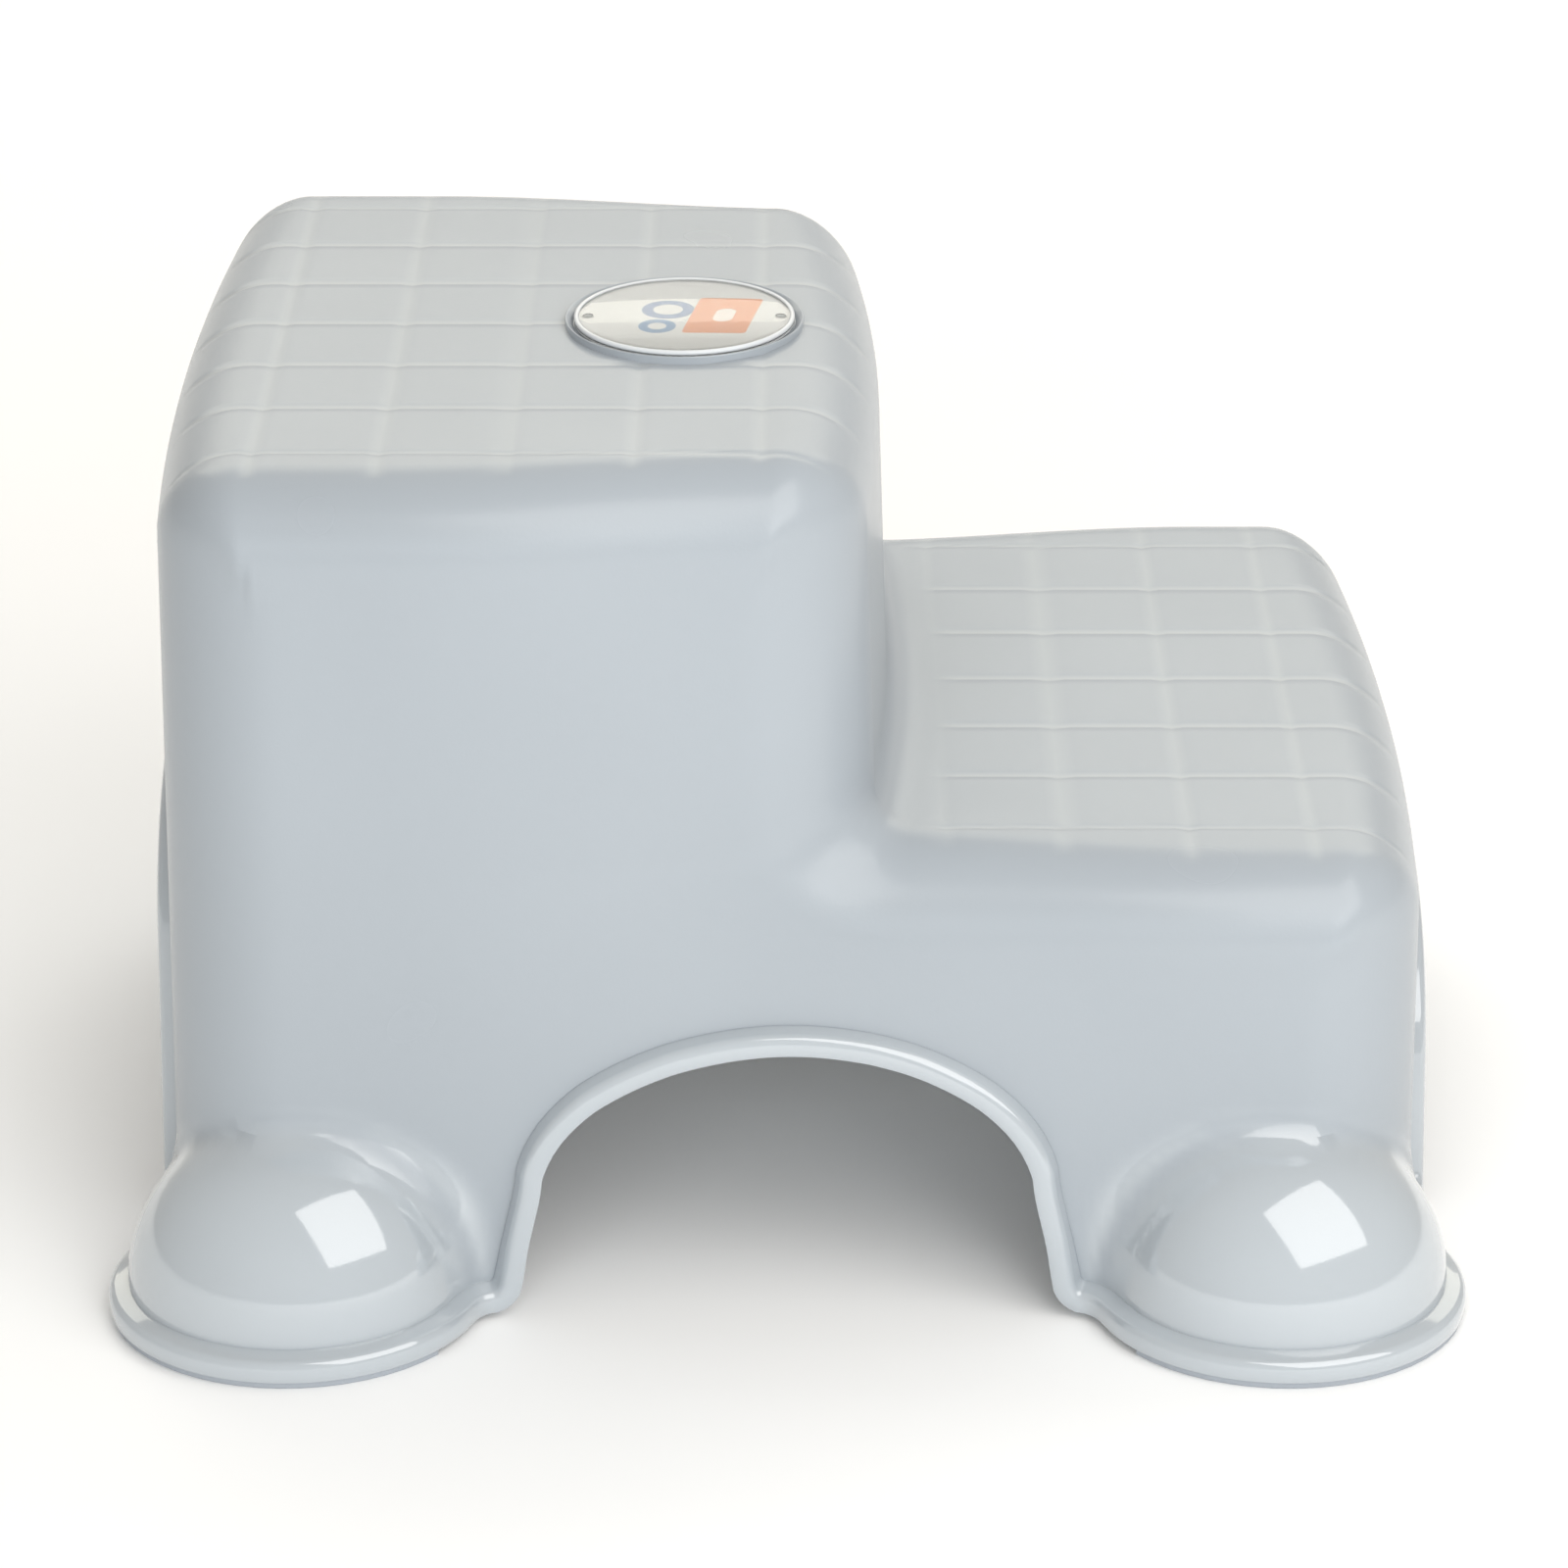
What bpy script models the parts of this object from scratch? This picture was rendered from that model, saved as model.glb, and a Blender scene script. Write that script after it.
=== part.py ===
"""Two-step children's stool, in metres with +Z up and the low step at +X.

One thin moulded shell makes both treads, the riser, the walls, the four domed feet and the lip
round its free edge. Four soft foot pads sit under the feet, and a printed card under a clear lens
sits in a round collar on the high tread.
"""

import math

import bmesh
import bpy
import numpy as np
from mathutils import Matrix, Vector

# Heights of the two treads above the floor.
HIGH_TREAD = 0.256
LOW_TREAD = 0.139

# Half of the shell's width and length at the floor, and how far its middle lies in front of the
# origin, which is the middle between the feet.
SIDE_REACH = 0.149
HALF_LENGTH = 0.190
FRONT_SHIFT = 0.002
BACK_REACH = HALF_LENGTH - FRONT_SHIFT
FRONT_REACH = HALF_LENGTH + FRONT_SHIFT
RISER_X = 0.031

# How far the walls lean in for each metre of height, and how far each end bows out at its middle.
SIDE_DRAFT = 0.035
END_DRAFT = 0.020
RISER_DRAFT = 0.034
END_BOW = 0.008
RISER_BOW = 0.012

# Both treads are narrower at the middle of their sides, which fades out towards the floor.
WAIST_DEPTH = 0.013
WAIST_X = 0.012
WAIST_HALF_LENGTH = 0.125

WALL = 0.0027
TREAD_FILLET = 0.024
CORNER_RADIUS = 0.034
RISER_FILLET = 0.011

# The four domed feet, each a little way in from the walls' corner.
FOOT_INSET_X = 0.045
FOOT_INSET_Y = 0.005
FOOT_X = HALF_LENGTH - FOOT_INSET_X
FOOT_Y = SIDE_REACH - FOOT_INSET_Y
FOOT_LENGTH = 0.100
FOOT_WIDTH = 0.088
FOOT_DOME = 0.0487
FOOT_BLEND = 0.004
FOOT_BLEND_AT_LIP = 0.010
FOOT_BLEND_TO_ARCH = 0.018
FOOT_BLEND_RUN = 0.030

# The lip round the free edge stands out from the wall, then runs on past it.
LIP_OUT = 0.006
LIP_RUN = 0.0078
LIP_ROUND = 0.003

# The arched openings: half-width at the floor and at the springing, height of the springing, rise.
ARCH_FOOT = 0.079
ARCH_HALF = 0.072
ARCH_SPRING = 0.042
ARCH_RISE = 0.041
BACK_ARCH_SPRING = 0.085
ARCH_HEEL = 0.001

# The foot pads, and the clearance between pieces that touch.
PAD_THICK = 0.002
PAD_INSET = 0.0008
PAD_WIDTH = 0.0065
PAD_CHAMFER = 0.0005
PAD_FROM = 8.0
PAD_TO = 142.0
GAP = 0.0003

# Ribs under both treads.
RIB_THICK = 0.0022
RIB_DEPTH = 0.012
RIB_Y = 0.054
RIB_HIGH_X = (-0.115, -0.045)
RIB_LOW_X = (0.110,)
RIB_SINK = 0.0012

# The badge on the high tread.
BADGE_X = -0.031
BADGE_Y = 0.0
BADGE_RADIUS = 0.0335
COLLAR_WIDTH = 0.0025
COLLAR_RISE = 0.0025
RECESS_DEPTH = 0.0022
CARD_THICK = 0.0004
LENS_THICK = 0.0012
LENS_CROWN = 0.0012
PEG_INSET = 0.0045
PEG_OFFSET = BADGE_RADIUS - PEG_INSET
PEG_RADIUS = 0.0016
PEG_LENGTH = 0.0060

# How finely curved stretches are divided, and how far round the arches and the riser the grid of the
# walls is evened out.
FILLET_STEPS = 2
ARCH_COLUMNS = 6
ROUND_SIDES = 40
NEAR_ARCH = 0.030
NEAR_BACK_ARCH = 0.0625
NEAR_RISER = 0.050
NEAR_RISER_HEIGHT = 0.039
NEAR_RISER_SIDE = 0.005

SHELL_BOTTOM = PAD_THICK + GAP
LIP_START = SHELL_BOTTOM + LIP_RUN
ARCH_REACH = ARCH_HALF + LIP_RUN
SIDE_ARCH_TOP = ARCH_SPRING + ARCH_RISE + LIP_RUN
BACK_ARCH_TOP = BACK_ARCH_SPRING + ARCH_RISE + LIP_RUN


def material(name, colour, roughness):
    made = bpy.data.materials.new(name)
    made.use_nodes = True
    surface = made.node_tree.nodes["Principled BSDF"]
    surface.inputs["Base Color"].default_value = (*colour, 1.0)
    surface.inputs["Roughness"].default_value = roughness
    surface.inputs["Metallic"].default_value = 0.0
    return made


def add_object(name, bm, finish):
    """The mesh in bm as a named object, with its faces turned outwards."""
    bmesh.ops.recalc_face_normals(bm, faces=bm.faces)
    mesh = bpy.data.meshes.new(name)
    bm.to_mesh(mesh)
    bm.free()
    mesh.materials.append(finish)
    made = bpy.data.objects.new(name, mesh)
    bpy.context.scene.collection.objects.link(made)
    return made


# ---------------------------------------------------------------- the shell's outer shape


def round_max(a, b, radius):
    """Where both a and b are inside, with the edge between them rounded."""
    flat = np.minimum(np.maximum(a, b), -radius)
    return flat + np.hypot(np.maximum(a + radius, 0), np.maximum(b + radius, 0))


def round_min(a, b, radius):
    """Where a or b is inside, with the corner between them filled by a fillet."""
    return -round_max(-a, -b, radius)


def half_width(x, z):
    """Distance from the mid-plane to the side wall."""
    along = np.clip(np.abs(x - WAIST_X) / WAIST_HALF_LENGTH, 0, 1)
    pinch = 0.5 + 0.5 * np.cos(math.pi * along)
    fade = np.clip(z / LOW_TREAD, 0, 1) ** 2
    return SIDE_REACH - SIDE_DRAFT * z - WAIST_DEPTH * pinch * fade


def steps_distance(x, y, z):
    """Distance outside the stepped profile, as if it ran on for ever to both sides."""
    across = (y / SIDE_REACH) ** 2
    back = -x - (BACK_REACH - END_DRAFT * z - END_BOW * across)
    front = x - (FRONT_REACH - END_DRAFT * z - END_BOW * across)
    riser = x - (RISER_X - RISER_DRAFT * (z - LOW_TREAD) - RISER_BOW * across)
    upper = round_max(z - HIGH_TREAD, riser, TREAD_FILLET)
    lower = round_max(z - LOW_TREAD, front, TREAD_FILLET)
    return round_max(round_min(upper, lower, RISER_FILLET), back, TREAD_FILLET)


def body_distance(x, y, z):
    """Distance outside the two steps, with upright edges rounder than the treads' edges."""
    probe = 0.0005
    steps = steps_distance(x, y, z)
    facing_x = (steps_distance(x + probe, y, z) - steps_distance(x - probe, y, z)) / (2 * probe)
    facing_x = np.clip(np.abs(facing_x), 0, 1)
    radius = TREAD_FILLET + (CORNER_RADIUS - TREAD_FILLET) * facing_x**2
    return round_max(steps, np.abs(y) - half_width(x, z), radius)


def foot_distance(x, y, z):
    """Distance outside the nearest domed foot."""
    radii = np.array([FOOT_LENGTH / 2, FOOT_WIDTH / 2, FOOT_DOME])
    offset = np.stack([np.abs(x) - FOOT_X, np.abs(y) - FOOT_Y, np.maximum(z - LIP_START, 0)], axis=-1)
    scaled = np.linalg.norm(offset / radii, axis=-1)
    slope = np.linalg.norm(offset / radii**2, axis=-1)
    return scaled * (scaled - 1) / np.maximum(slope, 1e-6)


def shell_distance(x, y, z):
    """Distance outside the whole shell. The feet run softly into the walls beside the arches."""
    low = np.clip(1 - (z - LIP_START) / FOOT_DOME * 1.6, 0, 1)
    blend = FOOT_BLEND + (FOOT_BLEND_AT_LIP - FOOT_BLEND) * low**2
    short_of_foot = np.maximum(FOOT_X - np.abs(x), FOOT_Y - np.abs(y))
    to_arch = np.clip(short_of_foot / FOOT_BLEND_RUN, 0, 1) * (1 - low**2)
    blend = blend + (FOOT_BLEND_TO_ARCH - FOOT_BLEND) * to_arch
    return round_min(body_distance(x, y, z), foot_distance(x, y, z), blend)


def settle_on_body(points):
    """Moves each point straight to the surface of the two steps, and level where the wall is low."""
    probe = 0.0002
    low = points[:, 2] < LOW_TREAD - TREAD_FILLET - 0.001
    for _ in range(12):
        value = body_distance(*points.T)
        slope = np.empty_like(points)
        for axis in range(3):
            step = np.zeros(3)
            step[axis] = probe
            ahead = body_distance(*(points + step).T)
            behind = body_distance(*(points - step).T)
            slope[:, axis] = (ahead - behind) / (2 * probe)
        slope[low, 2] = 0
        slope /= np.maximum(np.linalg.norm(slope, axis=1), 0.2)[:, None] ** 2
        points = points - value[:, None] * slope
    return points


def even_out(points, edges, chosen, times):
    """Spreads the chosen points evenly between their neighbours."""
    count = np.bincount(edges.ravel(), minlength=len(points))[:, None]
    for _ in range(times):
        total = np.zeros_like(points)
        np.add.at(total, edges[:, 0], points[edges[:, 1]])
        np.add.at(total, edges[:, 1], points[edges[:, 0]])
        points = np.where(chosen[:, None], (points + total / count) / 2, points)
    return points


def push_out_feet(points):
    """Moves points under a foot's dome outwards, level, until they lie on the dome."""
    side = np.sign(points[:, :2])
    centre = side * [FOOT_X, FOOT_Y - FOOT_WIDTH / 2]
    ray = points[:, :2] - centre
    ray /= np.maximum(np.linalg.norm(ray, axis=1), 1e-9)[:, None]
    foot_part = (side * ray)[:, 1] > 0
    low = np.zeros(len(points))
    high = np.full(len(points), FOOT_WIDTH)
    for _ in range(24):
        middle = (low + high) / 2
        tried = points[:, :2] + ray * middle[:, None]
        inside = shell_distance(tried[:, 0], tried[:, 1], points[:, 2]) < 0
        low = np.where(inside, middle, low)
        high = np.where(inside, high, middle)
    reach = np.where(foot_part & (points[:, 2] < LIP_START + 1.3 * FOOT_DOME), low, 0)
    moved = points.copy()
    moved[:, :2] += ray * reach[:, None]
    return moved


def arch_line(share, spring):
    """Points of the line where the lip starts round half an arch: crown at 0, heel from 1 to 2."""
    turn = np.linspace(0, math.pi / 2, 24)
    foot = ARCH_FOOT + LIP_RUN
    across = np.append(ARCH_REACH * np.sin(turn), foot)
    up = np.append(spring + (ARCH_RISE + LIP_RUN) * np.cos(turn), LIP_START + ARCH_HEEL)
    length = np.append(0, np.cumsum(np.hypot(np.diff(across), np.diff(up))))
    line_across = np.interp(share, length / length[-1], across)
    line_up = np.interp(share, length / length[-1], up)
    turn = np.clip(share - 1, 0, 1) * math.pi / 2
    heel_across = foot + ARCH_HEEL * (1 - np.cos(turn))
    heel_up = LIP_START + ARCH_HEEL * (1 - np.sin(turn))
    return np.where(share > 1, heel_across, line_across), np.where(share > 1, heel_up, line_up)


def bend_round_arch(across, up, spring, edge):
    """Moves the edge points of a flat wall's square notch onto the arch."""
    top = spring + ARCH_RISE + LIP_RUN
    heel = LIP_START + ARCH_HEEL
    down = np.where(np.abs(across) > ARCH_REACH - 1e-6, top - up, 0)
    along = np.minimum(np.abs(across), ARCH_REACH) + np.minimum(down, top - heel)
    share = along / (ARCH_REACH + top - heel) + np.maximum(heel - up, 0) / ARCH_HEEL
    new_across, new_up = arch_line(share, spring)
    in_notch = edge & (np.abs(across) < ARCH_REACH + 1e-6)
    return np.where(in_notch, np.sign(across) * new_across, across), np.where(in_notch, new_up, up)


def fillet_stations(edge, inward, radius):
    """Places near an edge whose points spread evenly round its fillet."""
    turns = np.linspace(0, math.pi / 4, FILLET_STEPS + 1)
    return [edge + inward * radius * (1 - math.tan(turn)) for turn in turns[:-1]]


def arch_stations():
    return list(ARCH_REACH * np.linspace(-1, 1, 2 * ARCH_COLUMNS + 1))


def x_stations():
    arch = arch_stations()
    keep = [x for x in arch if not RISER_X - CORNER_RADIUS < x < RISER_X + 2 * RISER_FILLET]
    places = keep + fillet_stations(-BACK_REACH, 1, CORNER_RADIUS)
    places += fillet_stations(FRONT_REACH, -1, CORNER_RADIUS)
    places += fillet_stations(RISER_X, -1, CORNER_RADIUS)
    places += [RISER_X + share * RISER_FILLET for share in (0.4, 1.0, 2.0)]
    past_foot = (-0.044, -0.032, -0.019, -0.005)
    places += [side * (FOOT_X + offset) for side in (-1, 1) for offset in past_foot]
    return sorted(places)


def y_stations():
    places = arch_stations()
    for side in (-1, 1):
        places += fillet_stations(side * SIDE_REACH, -side, CORNER_RADIUS)
        places.append(side * (FOOT_Y - 0.042))
    return sorted(places)


def z_stations():
    turns = np.radians([24, 46, 66, 84])
    places = list(LIP_START + FOOT_DOME * np.sin(turns))
    places += [LIP_START + 0.3 * ARCH_HEEL, LIP_START + ARCH_HEEL]
    round_side_arch = (-0.0195, 0.0, 0.0095)
    places += [SIDE_ARCH_TOP + offset for offset in round_side_arch]
    above_back_arch = (0.0120, 0.0525)
    places += [BACK_ARCH_TOP + offset for offset in above_back_arch]
    places += fillet_stations(LOW_TREAD, -1, TREAD_FILLET)
    places += [LOW_TREAD + share * RISER_FILLET for share in (0.4, 2.0)]
    places += fillet_stations(HIGH_TREAD, -1, TREAD_FILLET)
    return sorted(places)


def stepped_box():
    """The two steps as a plain open-bottomed box with a grid of edges, ready to be shaped."""
    bm = bmesh.new()
    size = (BACK_REACH + FRONT_REACH, 2 * SIDE_REACH, LOW_TREAD - LIP_START)
    centre = ((FRONT_REACH - BACK_REACH) / 2, 0, (LOW_TREAD + LIP_START) / 2)
    place = Matrix.Translation(centre) @ Matrix.Diagonal((*size, 1))
    bmesh.ops.create_cube(bm, size=1, matrix=place)

    def cut(axis, place):
        normal = Vector((0, 0, 0))
        normal[axis] = 1
        point = normal * place
        everything = bm.verts[:] + bm.edges[:] + bm.faces[:]
        bmesh.ops.bisect_plane(bm, geom=everything, dist=1e-7, plane_co=point, plane_no=normal)

    cut(0, RISER_X)
    back_top = [f for f in bm.faces if f.normal.z > 0.9 and f.calc_center_median().x < RISER_X]
    raised = bmesh.ops.extrude_face_region(bm, geom=back_top)["geom"]
    tops = [item for item in raised if isinstance(item, bmesh.types.BMVert)]
    bmesh.ops.translate(bm, verts=tops, vec=(0, 0, HIGH_TREAD - LOW_TREAD))
    bmesh.ops.delete(bm, geom=[f for f in back_top if f.is_valid], context="FACES_ONLY")
    for x in x_stations():
        cut(0, x)
    for y in y_stations():
        cut(1, y)
    for z in z_stations():
        cut(2, z)
    cut(2, BACK_ARCH_TOP)
    opened = []
    for face in bm.faces:
        x, y, z = face.calc_center_median()
        in_side = abs(x) < ARCH_REACH and z < SIDE_ARCH_TOP and abs(face.normal.y) > 0.9
        end_top = SIDE_ARCH_TOP if x > 0 else BACK_ARCH_TOP
        in_end = abs(y) < ARCH_REACH and z < end_top and abs(face.normal.x) > 0.9
        if in_side or in_end or z < LIP_START + 1e-5:
            opened.append(face)
    bmesh.ops.delete(bm, geom=opened, context="FACES_ONLY")
    loose = [e for e in bm.edges if not e.link_faces]
    bmesh.ops.delete(bm, geom=loose, context="EDGES")
    loose = [v for v in bm.verts if not v.link_faces]
    bmesh.ops.delete(bm, geom=loose, context="VERTS")
    return bm


def shape_shell(bm):
    """Opens the arches, rounds the steps and swells the feet."""
    bm.verts.ensure_lookup_table()
    points = np.array([v.co[:] for v in bm.verts], np.float64)
    edges = np.array([[v.index for v in e.verts] for e in bm.edges])
    at_edge = np.array([v.is_boundary for v in bm.verts])
    x, y, z = points.copy().T
    on_side = np.abs(np.abs(y) - SIDE_REACH) < 1e-6
    on_front = np.abs(x - FRONT_REACH) < 1e-6
    on_back = np.abs(x + BACK_REACH) < 1e-6
    arches = ((on_side, 0, ARCH_SPRING), (on_front, 1, ARCH_SPRING), (on_back, 1, BACK_ARCH_SPRING))
    for wall, axis, spring in arches:
        across, up = bend_round_arch(points[:, axis], points[:, 2], spring, at_edge)
        points[wall, axis] = across[wall]
        points[wall, 2] = up[wall]
    round_arch = np.where(on_side, np.abs(x), np.abs(y)) < ARCH_REACH + NEAR_ARCH
    below = z < np.where(on_back, BACK_ARCH_TOP + NEAR_BACK_ARCH, LOW_TREAD - TREAD_FILLET - 1e-4)
    corner = on_side & (on_front | on_back)
    free = (on_side | on_front | on_back) & round_arch & below & ~at_edge & ~corner
    points = even_out(points, edges, free, 60)

    points[:, 1] *= half_width(points[:, 0], points[:, 2]) / SIDE_REACH
    points = settle_on_body(points)
    near_riser = (np.abs(x - RISER_X) < NEAR_RISER)
    near_riser &= np.abs(y) > SIDE_REACH - CORNER_RADIUS - NEAR_RISER_SIDE
    near_riser &= np.abs(z - LOW_TREAD - RISER_FILLET) < NEAR_RISER_HEIGHT
    for _ in range(30):
        points = even_out(points, edges, near_riser, 1)
        points[near_riser] = settle_on_body(points[near_riser])
    points = push_out_feet(points)
    floor_row = at_edge & (z < LIP_START + 1e-6)
    points[floor_row, 2] = LIP_START
    for vert, point in zip(bm.verts, points):
        vert.co = point


def add_lip(bm):
    """Carries the free edge outwards round a small ledge, then on past the wall."""
    bmesh.ops.recalc_face_normals(bm, faces=bm.faces)
    bm.normal_update()
    loops = [e.link_loops[0] for e in bm.edges if e.is_boundary]
    after = {loop.vert: loop.link_loop_next.vert for loop in loops}
    before = {two: one for one, two in after.items()}
    ring = list(after)
    frames = {}
    for vert in ring:
        along = (after[vert].co - before[vert].co).normalized()
        out = (vert.normal - along * vert.normal.dot(along)).normalized()
        past = along.cross(out)
        turned = (after[vert].co - vert.co).angle(before[vert].co - vert.co)
        frames[vert] = (out, past, vert.co.copy(), 1 / max(math.sin(turned / 2), 0.7))
    bend = LIP_ROUND * (1 - math.sqrt(0.5))
    section = (
        (LIP_OUT - LIP_ROUND, LIP_ROUND * 0.35),
        (LIP_OUT - bend, LIP_ROUND * 0.35 + bend),
        (LIP_OUT, LIP_ROUND * 1.35),
        (LIP_OUT, LIP_RUN),
    )
    edges = [e for e in bm.edges if e.is_boundary]
    source = {vert: vert for vert in ring}
    for out_by, past_by in section:
        new = {vert: bm.verts.new(vert.co) for vert in ring}
        for vert, (out, past, start, spread) in frames.items():
            new[vert].co = start + out * out_by + past * (past_by * spread)
            if start.z < LIP_START + 1e-6 and past_by == LIP_RUN and past.z < -0.9:
                new[vert].co.z = SHELL_BOTTOM
        for edge in edges:
            one, two = edge.verts
            bm.faces.new((source[one], source[two], new[two], new[one]))
        source = new
    bmesh.ops.recalc_face_normals(bm, faces=bm.faces)


def boolean(target, other, operation):
    """Joins other to target, or cuts it from target, and keeps other as a hidden helper."""
    other.hide_render = True
    other.display_type = "WIRE"
    modifier = target.modifiers.new(f"{operation.lower()} {other.name}", "BOOLEAN")
    modifier.operation = operation
    modifier.solver = "EXACT"
    modifier.object = other


def box_between(name, low, high, finish):
    bm = bmesh.new()
    low, high = Vector(low), Vector(high)
    place = Matrix.Translation((low + high) / 2) @ Matrix.Diagonal((*(high - low), 1))
    bmesh.ops.create_cube(bm, size=1, matrix=place)
    return add_object(name, bm, finish)


def disc(name, x, y, radius, low, high, finish):
    bm = bmesh.new()
    place = Matrix.Translation((x, y, (low + high) / 2))
    bmesh.ops.create_cone(
        bm,
        cap_ends=True,
        segments=ROUND_SIDES,
        radius1=radius,
        radius2=radius,
        depth=high - low,
        matrix=place,
    )
    return add_object(name, bm, finish)


def add_ribs(shell, finish):
    """Plates let into the treads' undersides, which stop short of the rounded edges."""
    inside = WALL - RIB_SINK
    side = SIDE_REACH - SIDE_DRAFT * HIGH_TREAD - WAIST_DEPTH - CORNER_RADIUS
    spans = {
        "high": (-BACK_REACH + CORNER_RADIUS, RISER_X - CORNER_RADIUS, HIGH_TREAD),
        "low": (RISER_X + RISER_FILLET, FRONT_REACH - CORNER_RADIUS, LOW_TREAD),
    }
    crossings = {"high": RIB_HIGH_X, "low": RIB_LOW_X}
    for step, (start, end, tread) in spans.items():
        top = tread - inside
        for side_name, y in (("left", RIB_Y), ("right", -RIB_Y)):
            low = (start, y - RIB_THICK / 2, top - RIB_DEPTH)
            high = (end, y + RIB_THICK / 2, top)
            boolean(shell, box_between(f"{step}_rib_{side_name}", low, high, finish), "UNION")
        for number, x in enumerate(crossings[step]):
            low = (x - RIB_THICK / 2, -side, top - RIB_DEPTH)
            high = (x + RIB_THICK / 2, side, top)
            boolean(shell, box_between(f"{step}_cross_rib_{number}", low, high, finish), "UNION")


def add_collar(shell, finish):
    """A raised round collar for the badge, with a recess and two peg holes."""
    collar = disc(
        "collar",
        BADGE_X,
        BADGE_Y,
        BADGE_RADIUS + COLLAR_WIDTH,
        HIGH_TREAD - WALL / 2,
        HIGH_TREAD + COLLAR_RISE,
        finish,
    )
    boolean(shell, collar, "UNION")
    recess_floor = HIGH_TREAD + COLLAR_RISE - RECESS_DEPTH
    recess = disc(
        "recess", BADGE_X, BADGE_Y, BADGE_RADIUS, recess_floor, HIGH_TREAD + 2 * COLLAR_RISE, finish
    )
    boolean(shell, recess, "DIFFERENCE")
    for name, side in (("peg_hole_back", -1), ("peg_hole_front", 1)):
        hole = disc(
            name,
            BADGE_X + side * PEG_OFFSET,
            BADGE_Y,
            PEG_RADIUS + GAP,
            HIGH_TREAD - 2 * WALL,
            HIGH_TREAD + COLLAR_RISE,
            finish,
        )
        boolean(shell, hole, "DIFFERENCE")


def stool_shell(finish):
    bm = stepped_box()
    shape_shell(bm)
    add_lip(bm)
    shell = add_object("stool_shell", bm, finish)
    wall = shell.modifiers.new("wall", "SOLIDIFY")
    wall.thickness = WALL
    wall.offset = -1
    wall.use_even_offset = True
    wall.use_quality_normals = True
    add_ribs(shell, finish)
    add_collar(shell, finish)
    return shell


# ---------------------------------------------------------------- the foot pads


def foot_outline(angle, out):
    """A point out from the foot's outline, level, at an angle round the foot."""
    length, width = FOOT_LENGTH / 2, FOOT_WIDTH / 2
    point = Vector((length * math.cos(angle), width * math.sin(angle), 0))
    normal = Vector((math.cos(angle) / length, math.sin(angle) / width, 0)).normalized()
    return point + normal * out


def foot_pad(name, x_side, y_side, finish):
    """A flat non-slip strip bonded under the foot's lip."""
    strip_outer = LIP_OUT - PAD_INSET
    strip_inner = strip_outer - PAD_WIDTH
    section = (
        (strip_outer - PAD_CHAMFER, 0),
        (strip_outer, PAD_CHAMFER),
        (strip_outer, PAD_THICK),
        (strip_inner, PAD_THICK),
        (strip_inner, 0),
    )
    bm = bmesh.new()
    rings = []
    for angle in np.radians(np.linspace(PAD_FROM, PAD_TO, 21)):
        ring = []
        for out, up in section:
            point = foot_outline(angle, out)
            place = (x_side * (FOOT_X + point.x), y_side * (FOOT_Y + point.y), up)
            ring.append(bm.verts.new(place))
        rings.append(ring)
    count = len(section)
    for one, two in zip(rings, rings[1:]):
        for index in range(count):
            after = (index + 1) % count
            bm.faces.new((one[index], one[after], two[after], two[index]))
    bm.faces.new(rings[0])
    bm.faces.new(rings[-1][::-1])
    return add_object(name, bm, finish)


# ---------------------------------------------------------------- the badge


def badge_card(finish):
    floor = HIGH_TREAD + COLLAR_RISE - RECESS_DEPTH + GAP
    radius = BADGE_RADIUS - GAP
    card = disc("badge_card", BADGE_X, BADGE_Y, radius, floor, floor + CARD_THICK, finish)
    for name, side in (("card_hole_back", -1), ("card_hole_front", 1)):
        place = BADGE_X + side * PEG_OFFSET
        bottom, top = floor - CARD_THICK, floor + 2 * CARD_THICK
        hole = disc(name, place, BADGE_Y, PEG_RADIUS + GAP, bottom, top, finish)
        boolean(card, hole, "DIFFERENCE")
    return card


def badge_lens(finish):
    """A clear domed disc with two pegs below it."""
    low = HIGH_TREAD + COLLAR_RISE - RECESS_DEPTH + 2 * GAP + CARD_THICK
    radius = BADGE_RADIUS - GAP
    bm = bmesh.new()
    rings = []
    for share in (1.0, 0.8, 0.55, 0.28):
        crown = LENS_CROWN * (1 - share**2)
        ring = []
        for number in range(ROUND_SIDES):
            turn = 2 * math.pi * number / ROUND_SIDES
            x = BADGE_X + share * radius * math.cos(turn)
            y = BADGE_Y + share * radius * math.sin(turn)
            ring.append(bm.verts.new((x, y, low + LENS_THICK + crown)))
        rings.append(ring)
    base = [bm.verts.new((v.co.x, v.co.y, low)) for v in rings[0]]
    for one, two in zip([base] + rings, rings):
        for index in range(ROUND_SIDES):
            after = (index + 1) % ROUND_SIDES
            bm.faces.new((one[index], one[after], two[after], two[index]))
    bm.faces.new(base[::-1])
    bm.faces.new(rings[-1])
    lens = add_object("badge_lens", bm, finish)
    for name, side in (("peg_back", -1), ("peg_front", 1)):
        place = BADGE_X + side * PEG_OFFSET
        peg = disc(name, place, BADGE_Y, PEG_RADIUS, low - PEG_LENGTH, low + LENS_THICK / 2, finish)
        boolean(lens, peg, "UNION")
    return lens


def build():
    for obj in list(bpy.data.objects):
        bpy.data.objects.remove(obj, do_unlink=True)
    body_plastic = material("grey_blue_plastic", (0.50, 0.55, 0.61), 0.3)
    pad_rubber = material("pad_rubber", (0.38, 0.41, 0.45), 0.6)
    clear_plastic = material("clear_plastic", (0.93, 0.93, 0.91), 0.05)
    printed_card = material("printed_card", (0.90, 0.88, 0.84), 0.5)
    stool_shell(body_plastic)
    for end, x_side in (("front", 1), ("back", -1)):
        for side, y_side in (("left", 1), ("right", -1)):
            foot_pad(f"foot_pad_{end}_{side}", x_side, y_side, pad_rubber)
    badge_card(printed_card)
    badge_lens(clear_plastic)


build()
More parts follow.
